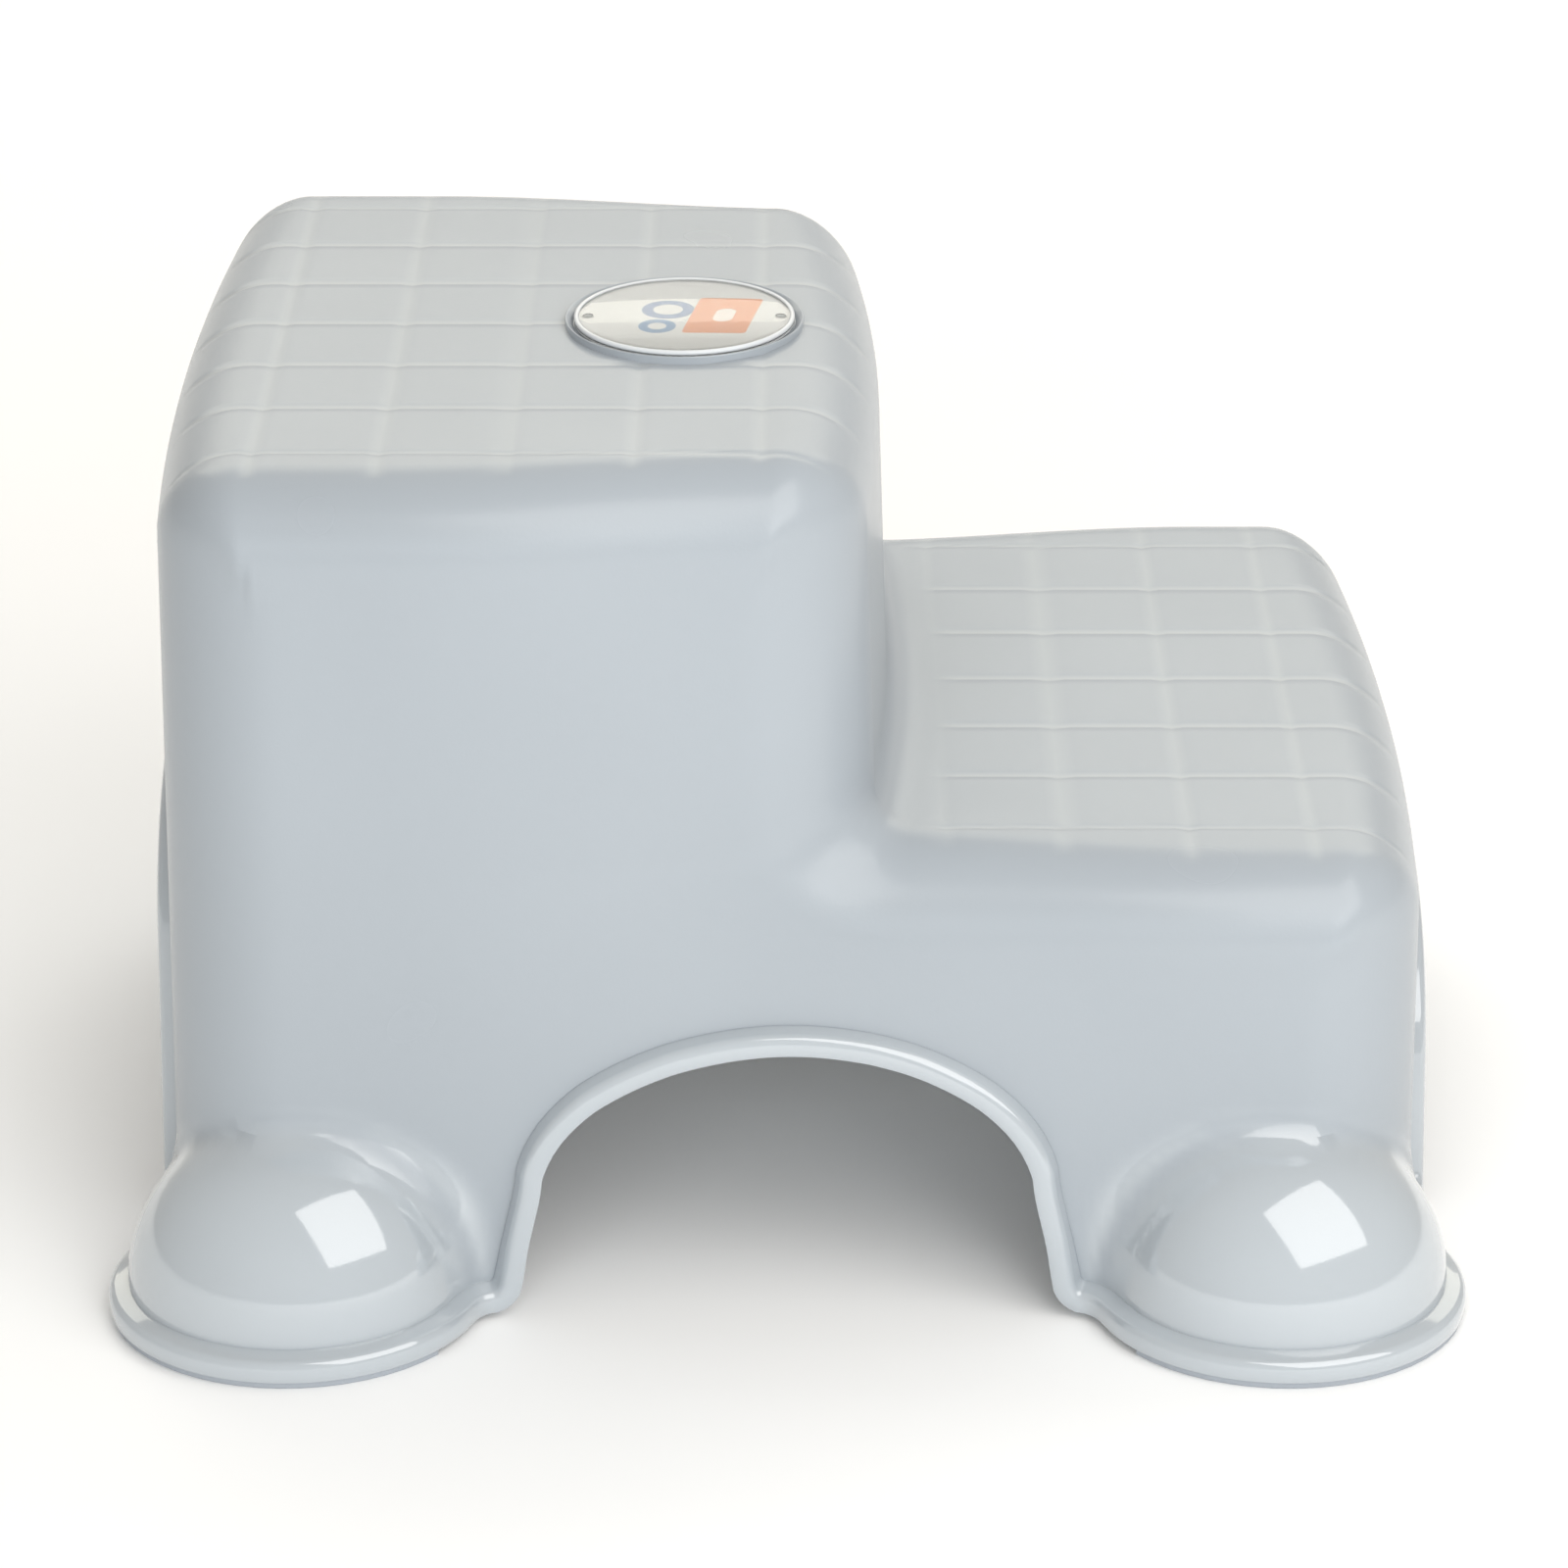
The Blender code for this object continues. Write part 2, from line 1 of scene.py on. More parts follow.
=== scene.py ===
# %% [markdown]
# # Two-step children's stool
# The real stool is one thin plastic moulding that stands on four domed feet. A strip of soft rubber
# lies under each foot, and a printed card under a clear cover sits on the upper step.
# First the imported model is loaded. It says where everything is, so nothing here is placed by eye.

# %% Load the frame
import math

import bmesh
import bpy
import numpy as np
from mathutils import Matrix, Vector


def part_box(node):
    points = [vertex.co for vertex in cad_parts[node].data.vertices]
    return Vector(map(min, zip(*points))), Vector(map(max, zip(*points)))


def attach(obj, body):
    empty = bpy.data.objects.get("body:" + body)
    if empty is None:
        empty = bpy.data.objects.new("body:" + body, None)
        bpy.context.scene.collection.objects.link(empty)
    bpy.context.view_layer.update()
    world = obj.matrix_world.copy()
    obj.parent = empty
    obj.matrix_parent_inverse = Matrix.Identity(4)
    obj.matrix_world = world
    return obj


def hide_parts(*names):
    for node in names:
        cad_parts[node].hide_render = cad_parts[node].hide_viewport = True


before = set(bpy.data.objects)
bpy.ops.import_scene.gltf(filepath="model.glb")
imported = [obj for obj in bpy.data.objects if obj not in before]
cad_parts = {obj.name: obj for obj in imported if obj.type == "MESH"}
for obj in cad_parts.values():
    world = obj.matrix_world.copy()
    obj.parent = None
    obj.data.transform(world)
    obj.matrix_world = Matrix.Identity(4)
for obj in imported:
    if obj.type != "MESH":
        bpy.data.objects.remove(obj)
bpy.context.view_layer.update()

# %% [markdown]
# ## Camera and studio
# The stool is seen from its long side, from well above. A long lens keeps its upright edges nearly
# parallel. The camera could be aimed with a constraint, but a plain position and tilt is easier to
# read, and it stays put when the view is turned.

# %% Camera
CAMERA_TILT = math.radians(25.0)
camera_data = bpy.data.cameras.new("studio_camera")
camera_data.sensor_width = 36.0
camera_data.lens = 115.9
camera_data.clip_end = 30.0
camera = bpy.data.objects.new("studio_camera", camera_data)
camera.location = (-0.001, -1.438, 0.773)
camera.rotation_euler = (math.pi / 2 - CAMERA_TILT, 0.0, 0.0)
bpy.context.scene.collection.objects.link(camera)
bpy.context.scene.camera = camera
print("camera at", tuple(camera.location))


# %% [markdown]
# The background is a white sweep: a floor that curves up into a wall far behind, so that no corner
# shows. It could be a plane and a world colour, but the curve keeps the horizon soft. It starts as a
# flat plane, its back edge is pulled up, and a bevel rounds the fold.


# %% Floor and backdrop
def deselect_everything():
    if bpy.context.mode != "OBJECT":
        bpy.ops.object.mode_set(mode="OBJECT")
    bpy.ops.object.select_all(action="DESELECT")


def name_it(name):
    obj = bpy.context.object
    obj.name = name
    obj.data.name = name
    return obj


def select_only(obj):
    deselect_everything()
    obj.select_set(True)
    bpy.context.view_layer.objects.active = obj


def select_edges(obj, wanted):
    """In edit mode, selects the edges whose two ends pass the test."""
    bpy.ops.object.mode_set(mode="OBJECT")
    places = [v.co for v in obj.data.vertices]
    chosen = [bool(wanted(places[e.vertices[0]], places[e.vertices[1]])) for e in obj.data.edges]
    obj.data.polygons.foreach_set("select", [False] * len(obj.data.polygons))
    obj.data.vertices.foreach_set("select", [False] * len(obj.data.vertices))
    obj.data.edges.foreach_set("select", chosen)
    bpy.ops.object.mode_set(mode="EDIT")
    bpy.ops.mesh.select_mode(type="EDGE")


def select_faces(obj, wanted):
    """In edit mode, selects the faces whose middle and normal pass the test."""
    bpy.ops.mesh.select_mode(type="FACE")
    bpy.ops.mesh.select_all(action="DESELECT")
    bpy.ops.object.mode_set(mode="OBJECT")
    chosen = [bool(wanted(face.center, face.normal)) for face in obj.data.polygons]
    obj.data.polygons.foreach_set("select", chosen)
    bpy.ops.object.mode_set(mode="EDIT")


BACKDROP_Y = 3.2
deselect_everything()
bpy.ops.mesh.primitive_plane_add(size=1, location=(0, 0, 0), scale=(1, 1, 1))
backdrop = name_it("studio_backdrop")
backdrop.scale = (14.0, 2 * BACKDROP_Y, 1.0)
bpy.ops.object.transform_apply(location=True, rotation=True, scale=True)
bpy.ops.object.mode_set(mode="EDIT")
select_edges(backdrop, lambda one, two: one.y > 1 and two.y > 1)
bpy.ops.mesh.extrude_region_move(TRANSFORM_OT_translate={"value": (0, 0, 3.5)})
select_edges(backdrop, lambda one, two: one.y > 1 and two.y > 1 and one.z + two.z < 0.1)
bpy.ops.mesh.bevel(offset=1.2, segments=12, affect="EDGES")
bpy.ops.object.mode_set(mode="OBJECT")
bpy.ops.object.shade_smooth()
print("backdrop", len(backdrop.data.polygons), "faces")


# %% [markdown]
# One soft box, at the front right and above, makes the single bright shape on each glossy foot. A wide
# faintly warm one far behind shows as a soft reflection on the treads. Two more, which are kept out of
# reflections, light the walls from the front and whiten the floor behind. The world is a warm pale grey
# that fills the shadows.


# %% Lights
def soft_box(name, place, aim, size, power, colour):
    data = bpy.data.lights.new(name, "AREA")
    data.shape = "RECTANGLE"
    data.size, data.size_y = size
    data.energy = power
    data.color = colour
    light = bpy.data.objects.new(name, data)
    light.visible_camera = False
    light.location = place
    direction = Vector(aim) - Vector(place)
    light.rotation_euler = direction.to_track_quat("-Z", "Y").to_euler()
    bpy.context.scene.collection.objects.link(light)
    return light


soft_box("key_box", (0.50, -0.70, 0.85), (0.0, -0.15, 0.05), (1.0, 1.0), 7.5, (1.0, 0.99, 0.97))
soft_box("back_box", (0.0, 2.6, 1.85), (0.0, 0.0, 0.30), (4.0, 1.6), 27.0, (1.0, 0.97, 0.84))
front_box = soft_box("front_box", (0.0, -2.5, 0.9), (0, 0, 0.12), (3.0, 1.2), 40.0, (0.93, 0.975, 1.0))
floor_box = soft_box("floor_box", (0.0, 1.2, 1.7), (0.0, 1.0, 0.0), (2.6, 1.2), 14.0, (1.0, 1.0, 1.0))
for plain_box in (front_box, floor_box):
    plain_box.visible_glossy = False

world = bpy.data.worlds.new("studio_world")
world.use_nodes = True
world_surface = world.node_tree.nodes["Background"]
world_surface.inputs["Color"].default_value = (1.0, 0.95, 0.88, 1.0)
world_surface.inputs["Strength"].default_value = 0.46
bpy.context.scene.world = world
bpy.context.scene.view_settings.view_transform = "Standard"

# %% [markdown]
# ## The moulded shell
# The shell is one skin of plastic 2.7 mm thick. Its walls lean in a little so that it leaves the
# mould, its ends bow out, its long sides have a waist, and every edge is well rounded.
# It could be carved from a block with Booleans, but then no surface would flow into the next. So it
# starts as a block cut into a grid, and each point of that grid is then settled on the true surface.
# These are its sizes, in metres.

# %% Sizes of the shell
shell_low, shell_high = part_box("stool_shell")
COLLAR_RISE = 0.0025
HIGH_TREAD = float(shell_high[2]) - COLLAR_RISE
SHELL_BOTTOM = float(shell_low[2])
LOW_TREAD = 0.139
SIDE_REACH = 0.149
BACK_REACH = 0.188
FRONT_REACH = 0.192
RISER_X = 0.031

SIDE_DRAFT = 0.035
END_DRAFT = 0.020
RISER_DRAFT = 0.034
END_BOW = 0.008
RISER_BOW = 0.012
WAIST_DEPTH = 0.013
WAIST_X = 0.012
WAIST_HALF_LENGTH = 0.125

WALL = 0.0027
TREAD_FILLET = 0.024
CORNER_RADIUS = 0.034
RISER_FILLET = 0.011

FOOT_X = 0.145
FOOT_Y = 0.144
FOOT_LENGTH = 0.100
FOOT_WIDTH = 0.088
FOOT_DOME = 0.0487
FOOT_BLEND = 0.005
FOOT_BLEND_AT_LIP = 0.010
FOOT_BLEND_TO_ARCH = 0.014
FOOT_BLEND_RUN = 0.050

LIP_OUT = 0.006
LIP_RUN = 0.0078
LIP_ROUND = 0.003
LIP_START = SHELL_BOTTOM + LIP_RUN

ARCH_FOOT = 0.079
ARCH_HALF = 0.072
ARCH_SPRING = 0.042
ARCH_RISE = 0.041
BACK_ARCH_SPRING = 0.085
ARCH_HEEL = 0.002
ARCH_REACH = ARCH_HALF + LIP_RUN
SIDE_ARCH_TOP = ARCH_SPRING + ARCH_RISE + LIP_RUN
BACK_ARCH_TOP = BACK_ARCH_SPRING + ARCH_RISE + LIP_RUN

TILE_PITCH = 0.036
TILE_ROWS = [TILE_PITCH * number for number in range(-3, 4)]
HIGH_COLUMNS = [-0.1515 + TILE_PITCH * number for number in range(5)]
LOW_COLUMNS = [0.0450 + TILE_PITCH * number for number in range(4)]
print("high tread", round(HIGH_TREAD, 4), "lip starts at", round(LIP_START, 4))


# %% [markdown]
# The true surface is written as a distance: how far a point lies outside the stool. Two flat faces
# meet in a rounded edge when their distances are blended with a circle instead of a plain maximum.


# %% The true surface
def round_max(a, b, radius):
    """The larger of two distances, with a circle where they meet."""
    flat = np.minimum(np.maximum(a, b), -radius)
    return flat + np.hypot(np.maximum(a + radius, 0), np.maximum(b + radius, 0))


def round_min(a, b, radius):
    return -round_max(-a, -b, radius)


def half_width(x, z):
    """Distance from the middle plane to the side wall, with its waist."""
    along = np.clip(np.abs(x - WAIST_X) / WAIST_HALF_LENGTH, 0, 1)
    pinch = 0.5 + 0.5 * np.cos(math.pi * along)
    fade = np.clip(z / LOW_TREAD, 0, 1) ** 2
    return SIDE_REACH - SIDE_DRAFT * z - WAIST_DEPTH * pinch * fade


def steps_distance(x, y, z):
    """Distance outside the stepped outline, as if it ran on for ever to both sides."""
    across = (y / SIDE_REACH) ** 2
    back = -x - (BACK_REACH - END_DRAFT * z - END_BOW * across)
    front = x - (FRONT_REACH - END_DRAFT * z - END_BOW * across)
    riser = x - (RISER_X - RISER_DRAFT * (z - LOW_TREAD) - RISER_BOW * across)
    upper = round_max(z - HIGH_TREAD, riser, TREAD_FILLET)
    lower = round_max(z - LOW_TREAD, front, TREAD_FILLET)
    return round_max(round_min(upper, lower, RISER_FILLET), back, TREAD_FILLET)


def body_distance(x, y, z):
    """Distance outside the two steps. Upright edges are rounder than the treads' edges."""
    probe = 0.0005
    steps = steps_distance(x, y, z)
    facing_x = (steps_distance(x + probe, y, z) - steps_distance(x - probe, y, z)) / (2 * probe)
    facing_x = np.clip(np.abs(facing_x), 0, 1)
    radius = TREAD_FILLET + (CORNER_RADIUS - TREAD_FILLET) * facing_x**2
    return round_max(steps, np.abs(y) - half_width(x, z), radius)


def foot_distance(x, y, z):
    """Distance outside the nearest domed foot."""
    radii = np.array([FOOT_LENGTH / 2, FOOT_WIDTH / 2, FOOT_DOME])
    up = np.maximum(z - LIP_START, 0)
    offset = np.stack([np.abs(x) - FOOT_X, np.abs(y) - FOOT_Y, up], axis=-1)
    scaled = np.linalg.norm(offset / radii, axis=-1)
    slope = np.linalg.norm(offset / radii**2, axis=-1)
    return scaled * (scaled - 1) / np.maximum(slope, 1e-6)


def shell_distance(x, y, z):
    """Distance outside the whole shell. The feet run softly into the walls beside the arches."""
    low = np.clip(1 - (z - LIP_START) / FOOT_DOME * 1.6, 0, 1)
    blend = FOOT_BLEND + (FOOT_BLEND_AT_LIP - FOOT_BLEND) * low**2
    short_of_foot = np.maximum(FOOT_X - np.abs(x), FOOT_Y - np.abs(y))
    to_arch = np.clip(short_of_foot / FOOT_BLEND_RUN, 0, 1) * (1 - low**2)
    blend = blend + (FOOT_BLEND_TO_ARCH - FOOT_BLEND) * to_arch
    return round_min(body_distance(x, y, z), foot_distance(x, y, z), blend)


middle = (np.array([0.0]), np.array([0.0]), np.array([HIGH_TREAD]))
print("distance on the upper tread", float(body_distance(*middle)[0]))


# %% [markdown]
# Three tools move the grid's points. One settles them on the surface by following its slope, one
# spreads them evenly between their neighbours, and one pushes the corners out level until they lie on
# the domes of the feet.


# %% Tools for the grid's points
def settle(points, distance, rounds=12):
    """Moves points straight to the surface, and only level where the wall is low."""
    probe = 0.0002
    low = points[:, 2] < LOW_TREAD - TREAD_FILLET - 0.001
    for _ in range(rounds):
        value = distance(*points.T)
        slope = np.empty_like(points)
        for axis in range(3):
            step = np.zeros(3)
            step[axis] = probe
            ahead = distance(*(points + step).T)
            behind = distance(*(points - step).T)
            slope[:, axis] = (ahead - behind) / (2 * probe)
        slope[low, 2] = 0
        slope /= np.maximum(np.linalg.norm(slope, axis=1), 0.2)[:, None] ** 2
        points = points - value[:, None] * slope
    return points


def even_out(points, edges, chosen, times):
    """Moves each chosen point half way to the middle of its neighbours."""
    count = np.bincount(edges.ravel(), minlength=len(points))[:, None]
    one, two = edges.T
    for _ in range(times):
        total = np.empty_like(points)
        for axis in range(3):
            there = np.bincount(one, points[two, axis], len(points))
            back = np.bincount(two, points[one, axis], len(points))
            total[:, axis] = there + back
        points = np.where(chosen[:, None], (points + total / count) / 2, points)
    return points


def push_out_feet(points):
    """Moves low points level, away from the nearest foot's inner middle, onto the domes."""
    side = np.sign(points[:, :2])
    centre = side * [FOOT_X, FOOT_Y - FOOT_WIDTH / 2]
    ray = points[:, :2] - centre
    ray /= np.maximum(np.linalg.norm(ray, axis=1), 1e-9)[:, None]
    foot_part = (side * ray)[:, 1] > 0
    low = np.zeros(len(points))
    high = np.full(len(points), FOOT_WIDTH)
    for _ in range(24):
        middle = (low + high) / 2
        tried = points[:, :2] + ray * middle[:, None]
        inside = shell_distance(tried[:, 0], tried[:, 1], points[:, 2]) < 0
        low = np.where(inside, middle, low)
        high = np.where(inside, high, middle)
    reach = np.where(foot_part & (points[:, 2] < LIP_START + 1.3 * FOOT_DOME), low, 0)
    moved = points.copy()
    moved[:, :2] += ray * reach[:, None]
    return moved


def read_points(obj, what="co"):
    """Every point's place, or another triple such as its normal."""
    flat = np.empty(len(obj.data.vertices) * 3)
    obj.data.vertices.foreach_get(what, flat)
    return flat.reshape(-1, 3)


def write_points(obj, points):
    obj.data.vertices.foreach_set("co", points.ravel())
    obj.data.update()


def read_edges(obj):
    """(edges as pairs of points, and which points lie on the free edge)"""
    flat = np.empty(len(obj.data.edges) * 2, np.int64)
    obj.data.edges.foreach_get("vertices", flat)
    edges = flat.reshape(-1, 2)
    used = np.empty(len(obj.data.loops), np.int64)
    obj.data.loops.foreach_get("edge_index", used)
    faces_on = np.bincount(used, minlength=len(edges))
    at_edge = np.zeros(len(obj.data.vertices), bool)
    at_edge[edges[faces_on == 1].ravel()] = True
    return edges, at_edge


print("tools ready")

# %% [markdown]
# ### The block and its grid
# A cube is added at the low step's size, its back part is extruded up to the high step, and planes cut
# it across. The cuts lie close together where the surface turns, on the feet, and beside each groove
# of the treads, so that the grooves stay crisp. No upright cut falls in an arch's heel, where the edge
# turns under into the foot.


# %% Where the cuts go
def fillet_cuts(edge, inward, radius, steps=3):
    turns = np.linspace(0, math.pi / 4, steps + 1)
    return [edge + inward * radius * (1 - math.tan(turn)) for turn in turns[:-1]]


def keep_apart(fixed, extra, least):
    """All of the fixed cuts, and those of the extra ones that aren't too close to another."""
    kept = list(fixed)
    for place in extra:
        if min(abs(place - other) for other in kept) > least:
            kept.append(place)
    return sorted(kept)


fixed_x = [-ARCH_REACH, ARCH_REACH, RISER_X]
fixed_x += fillet_cuts(-BACK_REACH, 1, CORNER_RADIUS) + fillet_cuts(FRONT_REACH, -1, CORNER_RADIUS)
fixed_x += fillet_cuts(RISER_X, -1, CORNER_RADIUS)
fixed_x += [RISER_X + share * RISER_FILLET for share in (0.4, 1.0, 2.0)]
extra_x = []
for column in HIGH_COLUMNS + LOW_COLUMNS:
    extra_x += [column - 0.003, column, column + 0.003]
heel_end = ARCH_FOOT + LIP_RUN + ARCH_HEEL
extra_x = [place for place in extra_x if not ARCH_REACH < abs(place) < heel_end]
past_heel = heel_end + 0.004
extra_x += [side * (past_heel + 0.0065 * number) for side in (-1, 1) for number in range(15)]
extra_x += list(np.arange(-0.072, 0.075, 0.009))
x_cuts = keep_apart(fixed_x, extra_x, 0.0022)

fixed_y = [-ARCH_REACH, ARCH_REACH]
for side in (-1, 1):
    fixed_y += fillet_cuts(side * SIDE_REACH, -side, CORNER_RADIUS, 4)
extra_y = []
for row in TILE_ROWS:
    extra_y += [row - 0.0011, row + 0.0011]
extra_y += [side * (past_heel + 0.0065 * number) for side in (-1, 1) for number in range(8)]
extra_y += list(np.arange(-0.072, 0.073, 0.009))
y_cuts = keep_apart(fixed_y, extra_y, 0.0020)

fixed_z = [LIP_START + share * ARCH_HEEL for share in (0.25, 0.5, 0.75, 1.0)]
fixed_z += [SIDE_ARCH_TOP, BACK_ARCH_TOP]
fixed_z += fillet_cuts(LOW_TREAD, -1, TREAD_FILLET) + fillet_cuts(HIGH_TREAD, -1, TREAD_FILLET)
fixed_z += [LOW_TREAD + share * RISER_FILLET for share in (0.4, 1.0, 2.0)]
extra_z = list(LIP_START + FOOT_DOME * np.sin(np.radians([11, 22, 33, 44, 54, 64, 75, 86])))
extra_z += [0.068, 0.080, 0.105, 0.178, 0.196, 0.214]
z_cuts = keep_apart(fixed_z, extra_z, 0.0016)
print("cuts", len(x_cuts), len(y_cuts), len(z_cuts))


# %% Block, high step and cuts
def add_block(name, low, high):
    """A block between two corners, as a new selected object."""
    low, high = Vector(low), Vector(high)
    deselect_everything()
    bpy.ops.mesh.primitive_cube_add(size=1, location=(low + high) / 2)
    block = name_it(name)
    block.scale = high - low
    bpy.ops.object.transform_apply(location=True, rotation=True, scale=True)
    return block


def cut_across(axis, places):
    """In edit mode, cuts everything with planes across an axis."""
    normal = [0.0, 0.0, 0.0]
    normal[axis] = 1.0
    for place in places:
        bpy.ops.mesh.select_all(action="SELECT")
        bpy.ops.mesh.bisect(plane_co=[share * float(place) for share in normal], plane_no=normal)


low_corner = (-BACK_REACH, -SIDE_REACH, LIP_START)
shell = add_block("moulded_shell", low_corner, (FRONT_REACH, SIDE_REACH, LOW_TREAD))
bpy.ops.object.mode_set(mode="EDIT")
cut_across(0, [RISER_X])
select_faces(shell, lambda at, facing: facing.z > 0.9 and at.x < RISER_X)
bpy.ops.mesh.extrude_region_move(TRANSFORM_OT_translate={"value": (0, 0, HIGH_TREAD - LOW_TREAD)})
cut_across(0, x_cuts)
cut_across(1, y_cuts)
cut_across(2, z_cuts)


def in_opening(at, facing):
    """True for the faces that the arches and the open bottom take away."""
    end_top = SIDE_ARCH_TOP if at.x > 0 else BACK_ARCH_TOP
    in_side = abs(at.x) < ARCH_REACH and at.z < SIDE_ARCH_TOP and abs(facing.y) > 0.9
    in_end = abs(at.y) < ARCH_REACH and at.z < end_top and abs(facing.x) > 0.9
    return in_side or in_end or (facing.z < -0.9 and at.z < LIP_START + 1e-4)


select_faces(shell, in_opening)
bpy.ops.mesh.delete(type="FACE")
bpy.ops.object.mode_set(mode="OBJECT")
print("block", len(shell.data.polygons), "faces")

# %% [markdown]
# ### From block to shell
# The square notches become arches: each edge point slides to its place on the arch, and the wall
# round it evens out. Then the walls get their waist and all points settle on the surface. One round
# of Subdivision Surface doubles the grid and smooths the flow of its lines.


# %% Shape the arches
def arch_line(share, spring):
    """Points of the line where the lip starts round half an arch: crown at 0, heel from 1 to 2."""
    turn = np.linspace(0, math.pi / 2, 48)
    foot = ARCH_FOOT + LIP_RUN
    across = np.append(ARCH_REACH * np.sin(turn), foot)
    up = np.append(spring + (ARCH_RISE + LIP_RUN) * np.cos(turn), LIP_START + ARCH_HEEL)
    length = np.append(0, np.cumsum(np.hypot(np.diff(across), np.diff(up))))
    line_across = np.interp(share, length / length[-1], across)
    line_up = np.interp(share, length / length[-1], up)
    turn = np.clip(share - 1, 0, 1) * math.pi / 2
    heel_across = foot + ARCH_HEEL * (1 - np.cos(turn))
    heel_up = LIP_START + ARCH_HEEL * (1 - np.sin(turn))
    return np.where(share > 1, heel_across, line_across), np.where(share > 1, heel_up, line_up)


def bend_round_arch(across, up, spring, edge):
    """Moves the edge points of a flat wall's square notch onto the arch."""
    top = spring + ARCH_RISE + LIP_RUN
    heel = LIP_START + ARCH_HEEL
    down = np.where(np.abs(across) > ARCH_REACH - 1e-5, top - up, 0)
    along = np.minimum(np.abs(across), ARCH_REACH) + np.minimum(down, top - heel)
    share = along / (ARCH_REACH + top - heel) + np.maximum(heel - up, 0) / ARCH_HEEL
    new_across, new_up = arch_line(share, spring)
    in_notch = edge & (np.abs(across) < ARCH_REACH + 1e-5)
    return np.where(in_notch, np.sign(across) * new_across, across), np.where(in_notch, new_up, up)


points = read_points(shell)
edges, at_edge = read_edges(shell)
x, y, z = points.copy().T
on_side = np.abs(np.abs(y) - SIDE_REACH) < 1e-5
on_front = np.abs(x - FRONT_REACH) < 1e-5
on_back = np.abs(x + BACK_REACH) < 1e-5
arches = ((on_side, 0, ARCH_SPRING), (on_front, 1, ARCH_SPRING), (on_back, 1, BACK_ARCH_SPRING))
for wall, axis, spring in arches:
    across, up = bend_round_arch(points[:, axis], points[:, 2], spring, at_edge)
    points[wall, axis] = across[wall]
    points[wall, 2] = up[wall]
round_arch = np.where(on_side, np.abs(x), np.abs(y)) < ARCH_REACH + 0.030
BACK_WALL_TOP = 0.200
below = z < np.where(on_back, BACK_WALL_TOP, LOW_TREAD - TREAD_FILLET - 1e-4)
corner = on_side & (on_front | on_back)
free = (on_side | on_front | on_back) & round_arch & below & ~at_edge & ~corner
points = even_out(points, edges, free, 300)
print("points on the arches' edges", int(at_edge.sum()))

# %% [markdown]
# The waist must not shift the cuts beside the grooves, or the grooves would fall between points. So
# the middle of each tread keeps its width, and only the part beyond it is squeezed.

# %% Settle the walls
KEPT_HALF = 2.1 * TILE_PITCH
side_here = half_width(points[:, 0], points[:, 2])
squeeze = (side_here - KEPT_HALF) / (SIDE_REACH - KEPT_HALF)
from_middle = np.abs(points[:, 1])
squeezed = np.minimum(from_middle, KEPT_HALF) + np.maximum(from_middle - KEPT_HALF, 0) * squeeze
points[:, 1] = np.sign(points[:, 1]) * squeezed
points = settle(points, body_distance)
near_riser = (np.abs(x - RISER_X) < 0.05) & (np.abs(y) > 0.11) & (z > 0.11) & (z < 0.19)
for _ in range(60):
    points = even_out(points, edges, near_riser, 1)
    points[near_riser] = settle(points[near_riser], body_distance, 4)
write_points(shell, points)

smoother = shell.modifiers.new("smoother", "SUBSURF")
smoother.levels = 1
smoother.render_levels = 1
select_only(shell)
bpy.ops.object.modifier_apply(modifier=smoother.name)

points = settle(read_points(shell), body_distance)
print("shell", len(shell.data.polygons), "faces after smoothing")

# %% [markdown]
# The feet swell out of the corners. The points under each dome move outwards, level, until they lie
# on it. Then they are evened out and settled once more, so that the crease above each foot is soft.

# %% Swell the feet
points = push_out_feet(points)
edges, at_edge = read_edges(shell)
domes = (np.abs(points[:, 0]) > 0.088) & (np.abs(points[:, 1]) > 0.088)
domes &= (points[:, 2] < LIP_START + 1.35 * FOOT_DOME) & ~at_edge
heights = points[:, 2].copy()
for _ in range(6):
    points = even_out(points, edges, domes, 1)
    points[domes, 2] = heights[domes]
    points[domes] = settle(points[domes], shell_distance, 5)
write_points(shell, points)
print("points on the feet", int(domes.sum()))

# %% [markdown]
# ### The treads' relief
# Both treads carry a shallow pattern of squares that gives grip. Along the stool run thin grooves, and
# across it run broad soft channels, with a small dimple where they meet. The grooves run on over the
# rounded edges and fade out. A bump texture could draw them, but they should show in the mesh too, so
# the points themselves are pressed in along the surface's normal. A value is stored at each point as
# well, 1 in a groove, and the plastic's colour is made paler there: a painted highlight along the
# grooves.

# %% Press in the squares
ROW_HALF = 0.0013
ROW_DEPTH = 0.00045
COLUMN_HALF = 0.0034
COLUMN_DEPTH = 0.00040
DIMPLE_HALF = 0.0030
DIMPLE_DEPTH = 0.00040

shell.data.update()
normals = read_points(shell, "normal")
x, y, z = points.T
upper = z > (LOW_TREAD + HIGH_TREAD) / 2


def nearest(value, places):
    """Distance from each value to the nearest of the places."""
    return np.abs(value[:, None] - np.array(places)[None, :]).min(axis=1)


from_row = nearest(y, TILE_ROWS)
from_column = np.where(upper, nearest(x, HIGH_COLUMNS), nearest(x, LOW_COLUMNS))
row = np.clip(1 - from_row / ROW_HALF, 0, 1)
column = 0.5 + 0.5 * np.cos(math.pi * np.clip(from_column / COLUMN_HALF, 0, 1))
dimple = np.clip(1 - np.hypot(from_row, 0.8 * from_column) / DIMPLE_HALF, 0, 1)
riser_here = RISER_X - RISER_BOW * (y / SIDE_REACH) ** 2
past_riser = np.clip((x - riser_here - 1.3 * RISER_FILLET) / 0.008, 0, 1)
clear_of_riser = np.where(upper, 1.0, past_riser)
facing_up = np.clip((normals[:, 2] - 0.45) / 0.35, 0, 1)
level = np.clip((normals[:, 2] - 0.93) / 0.05, 0, 1)
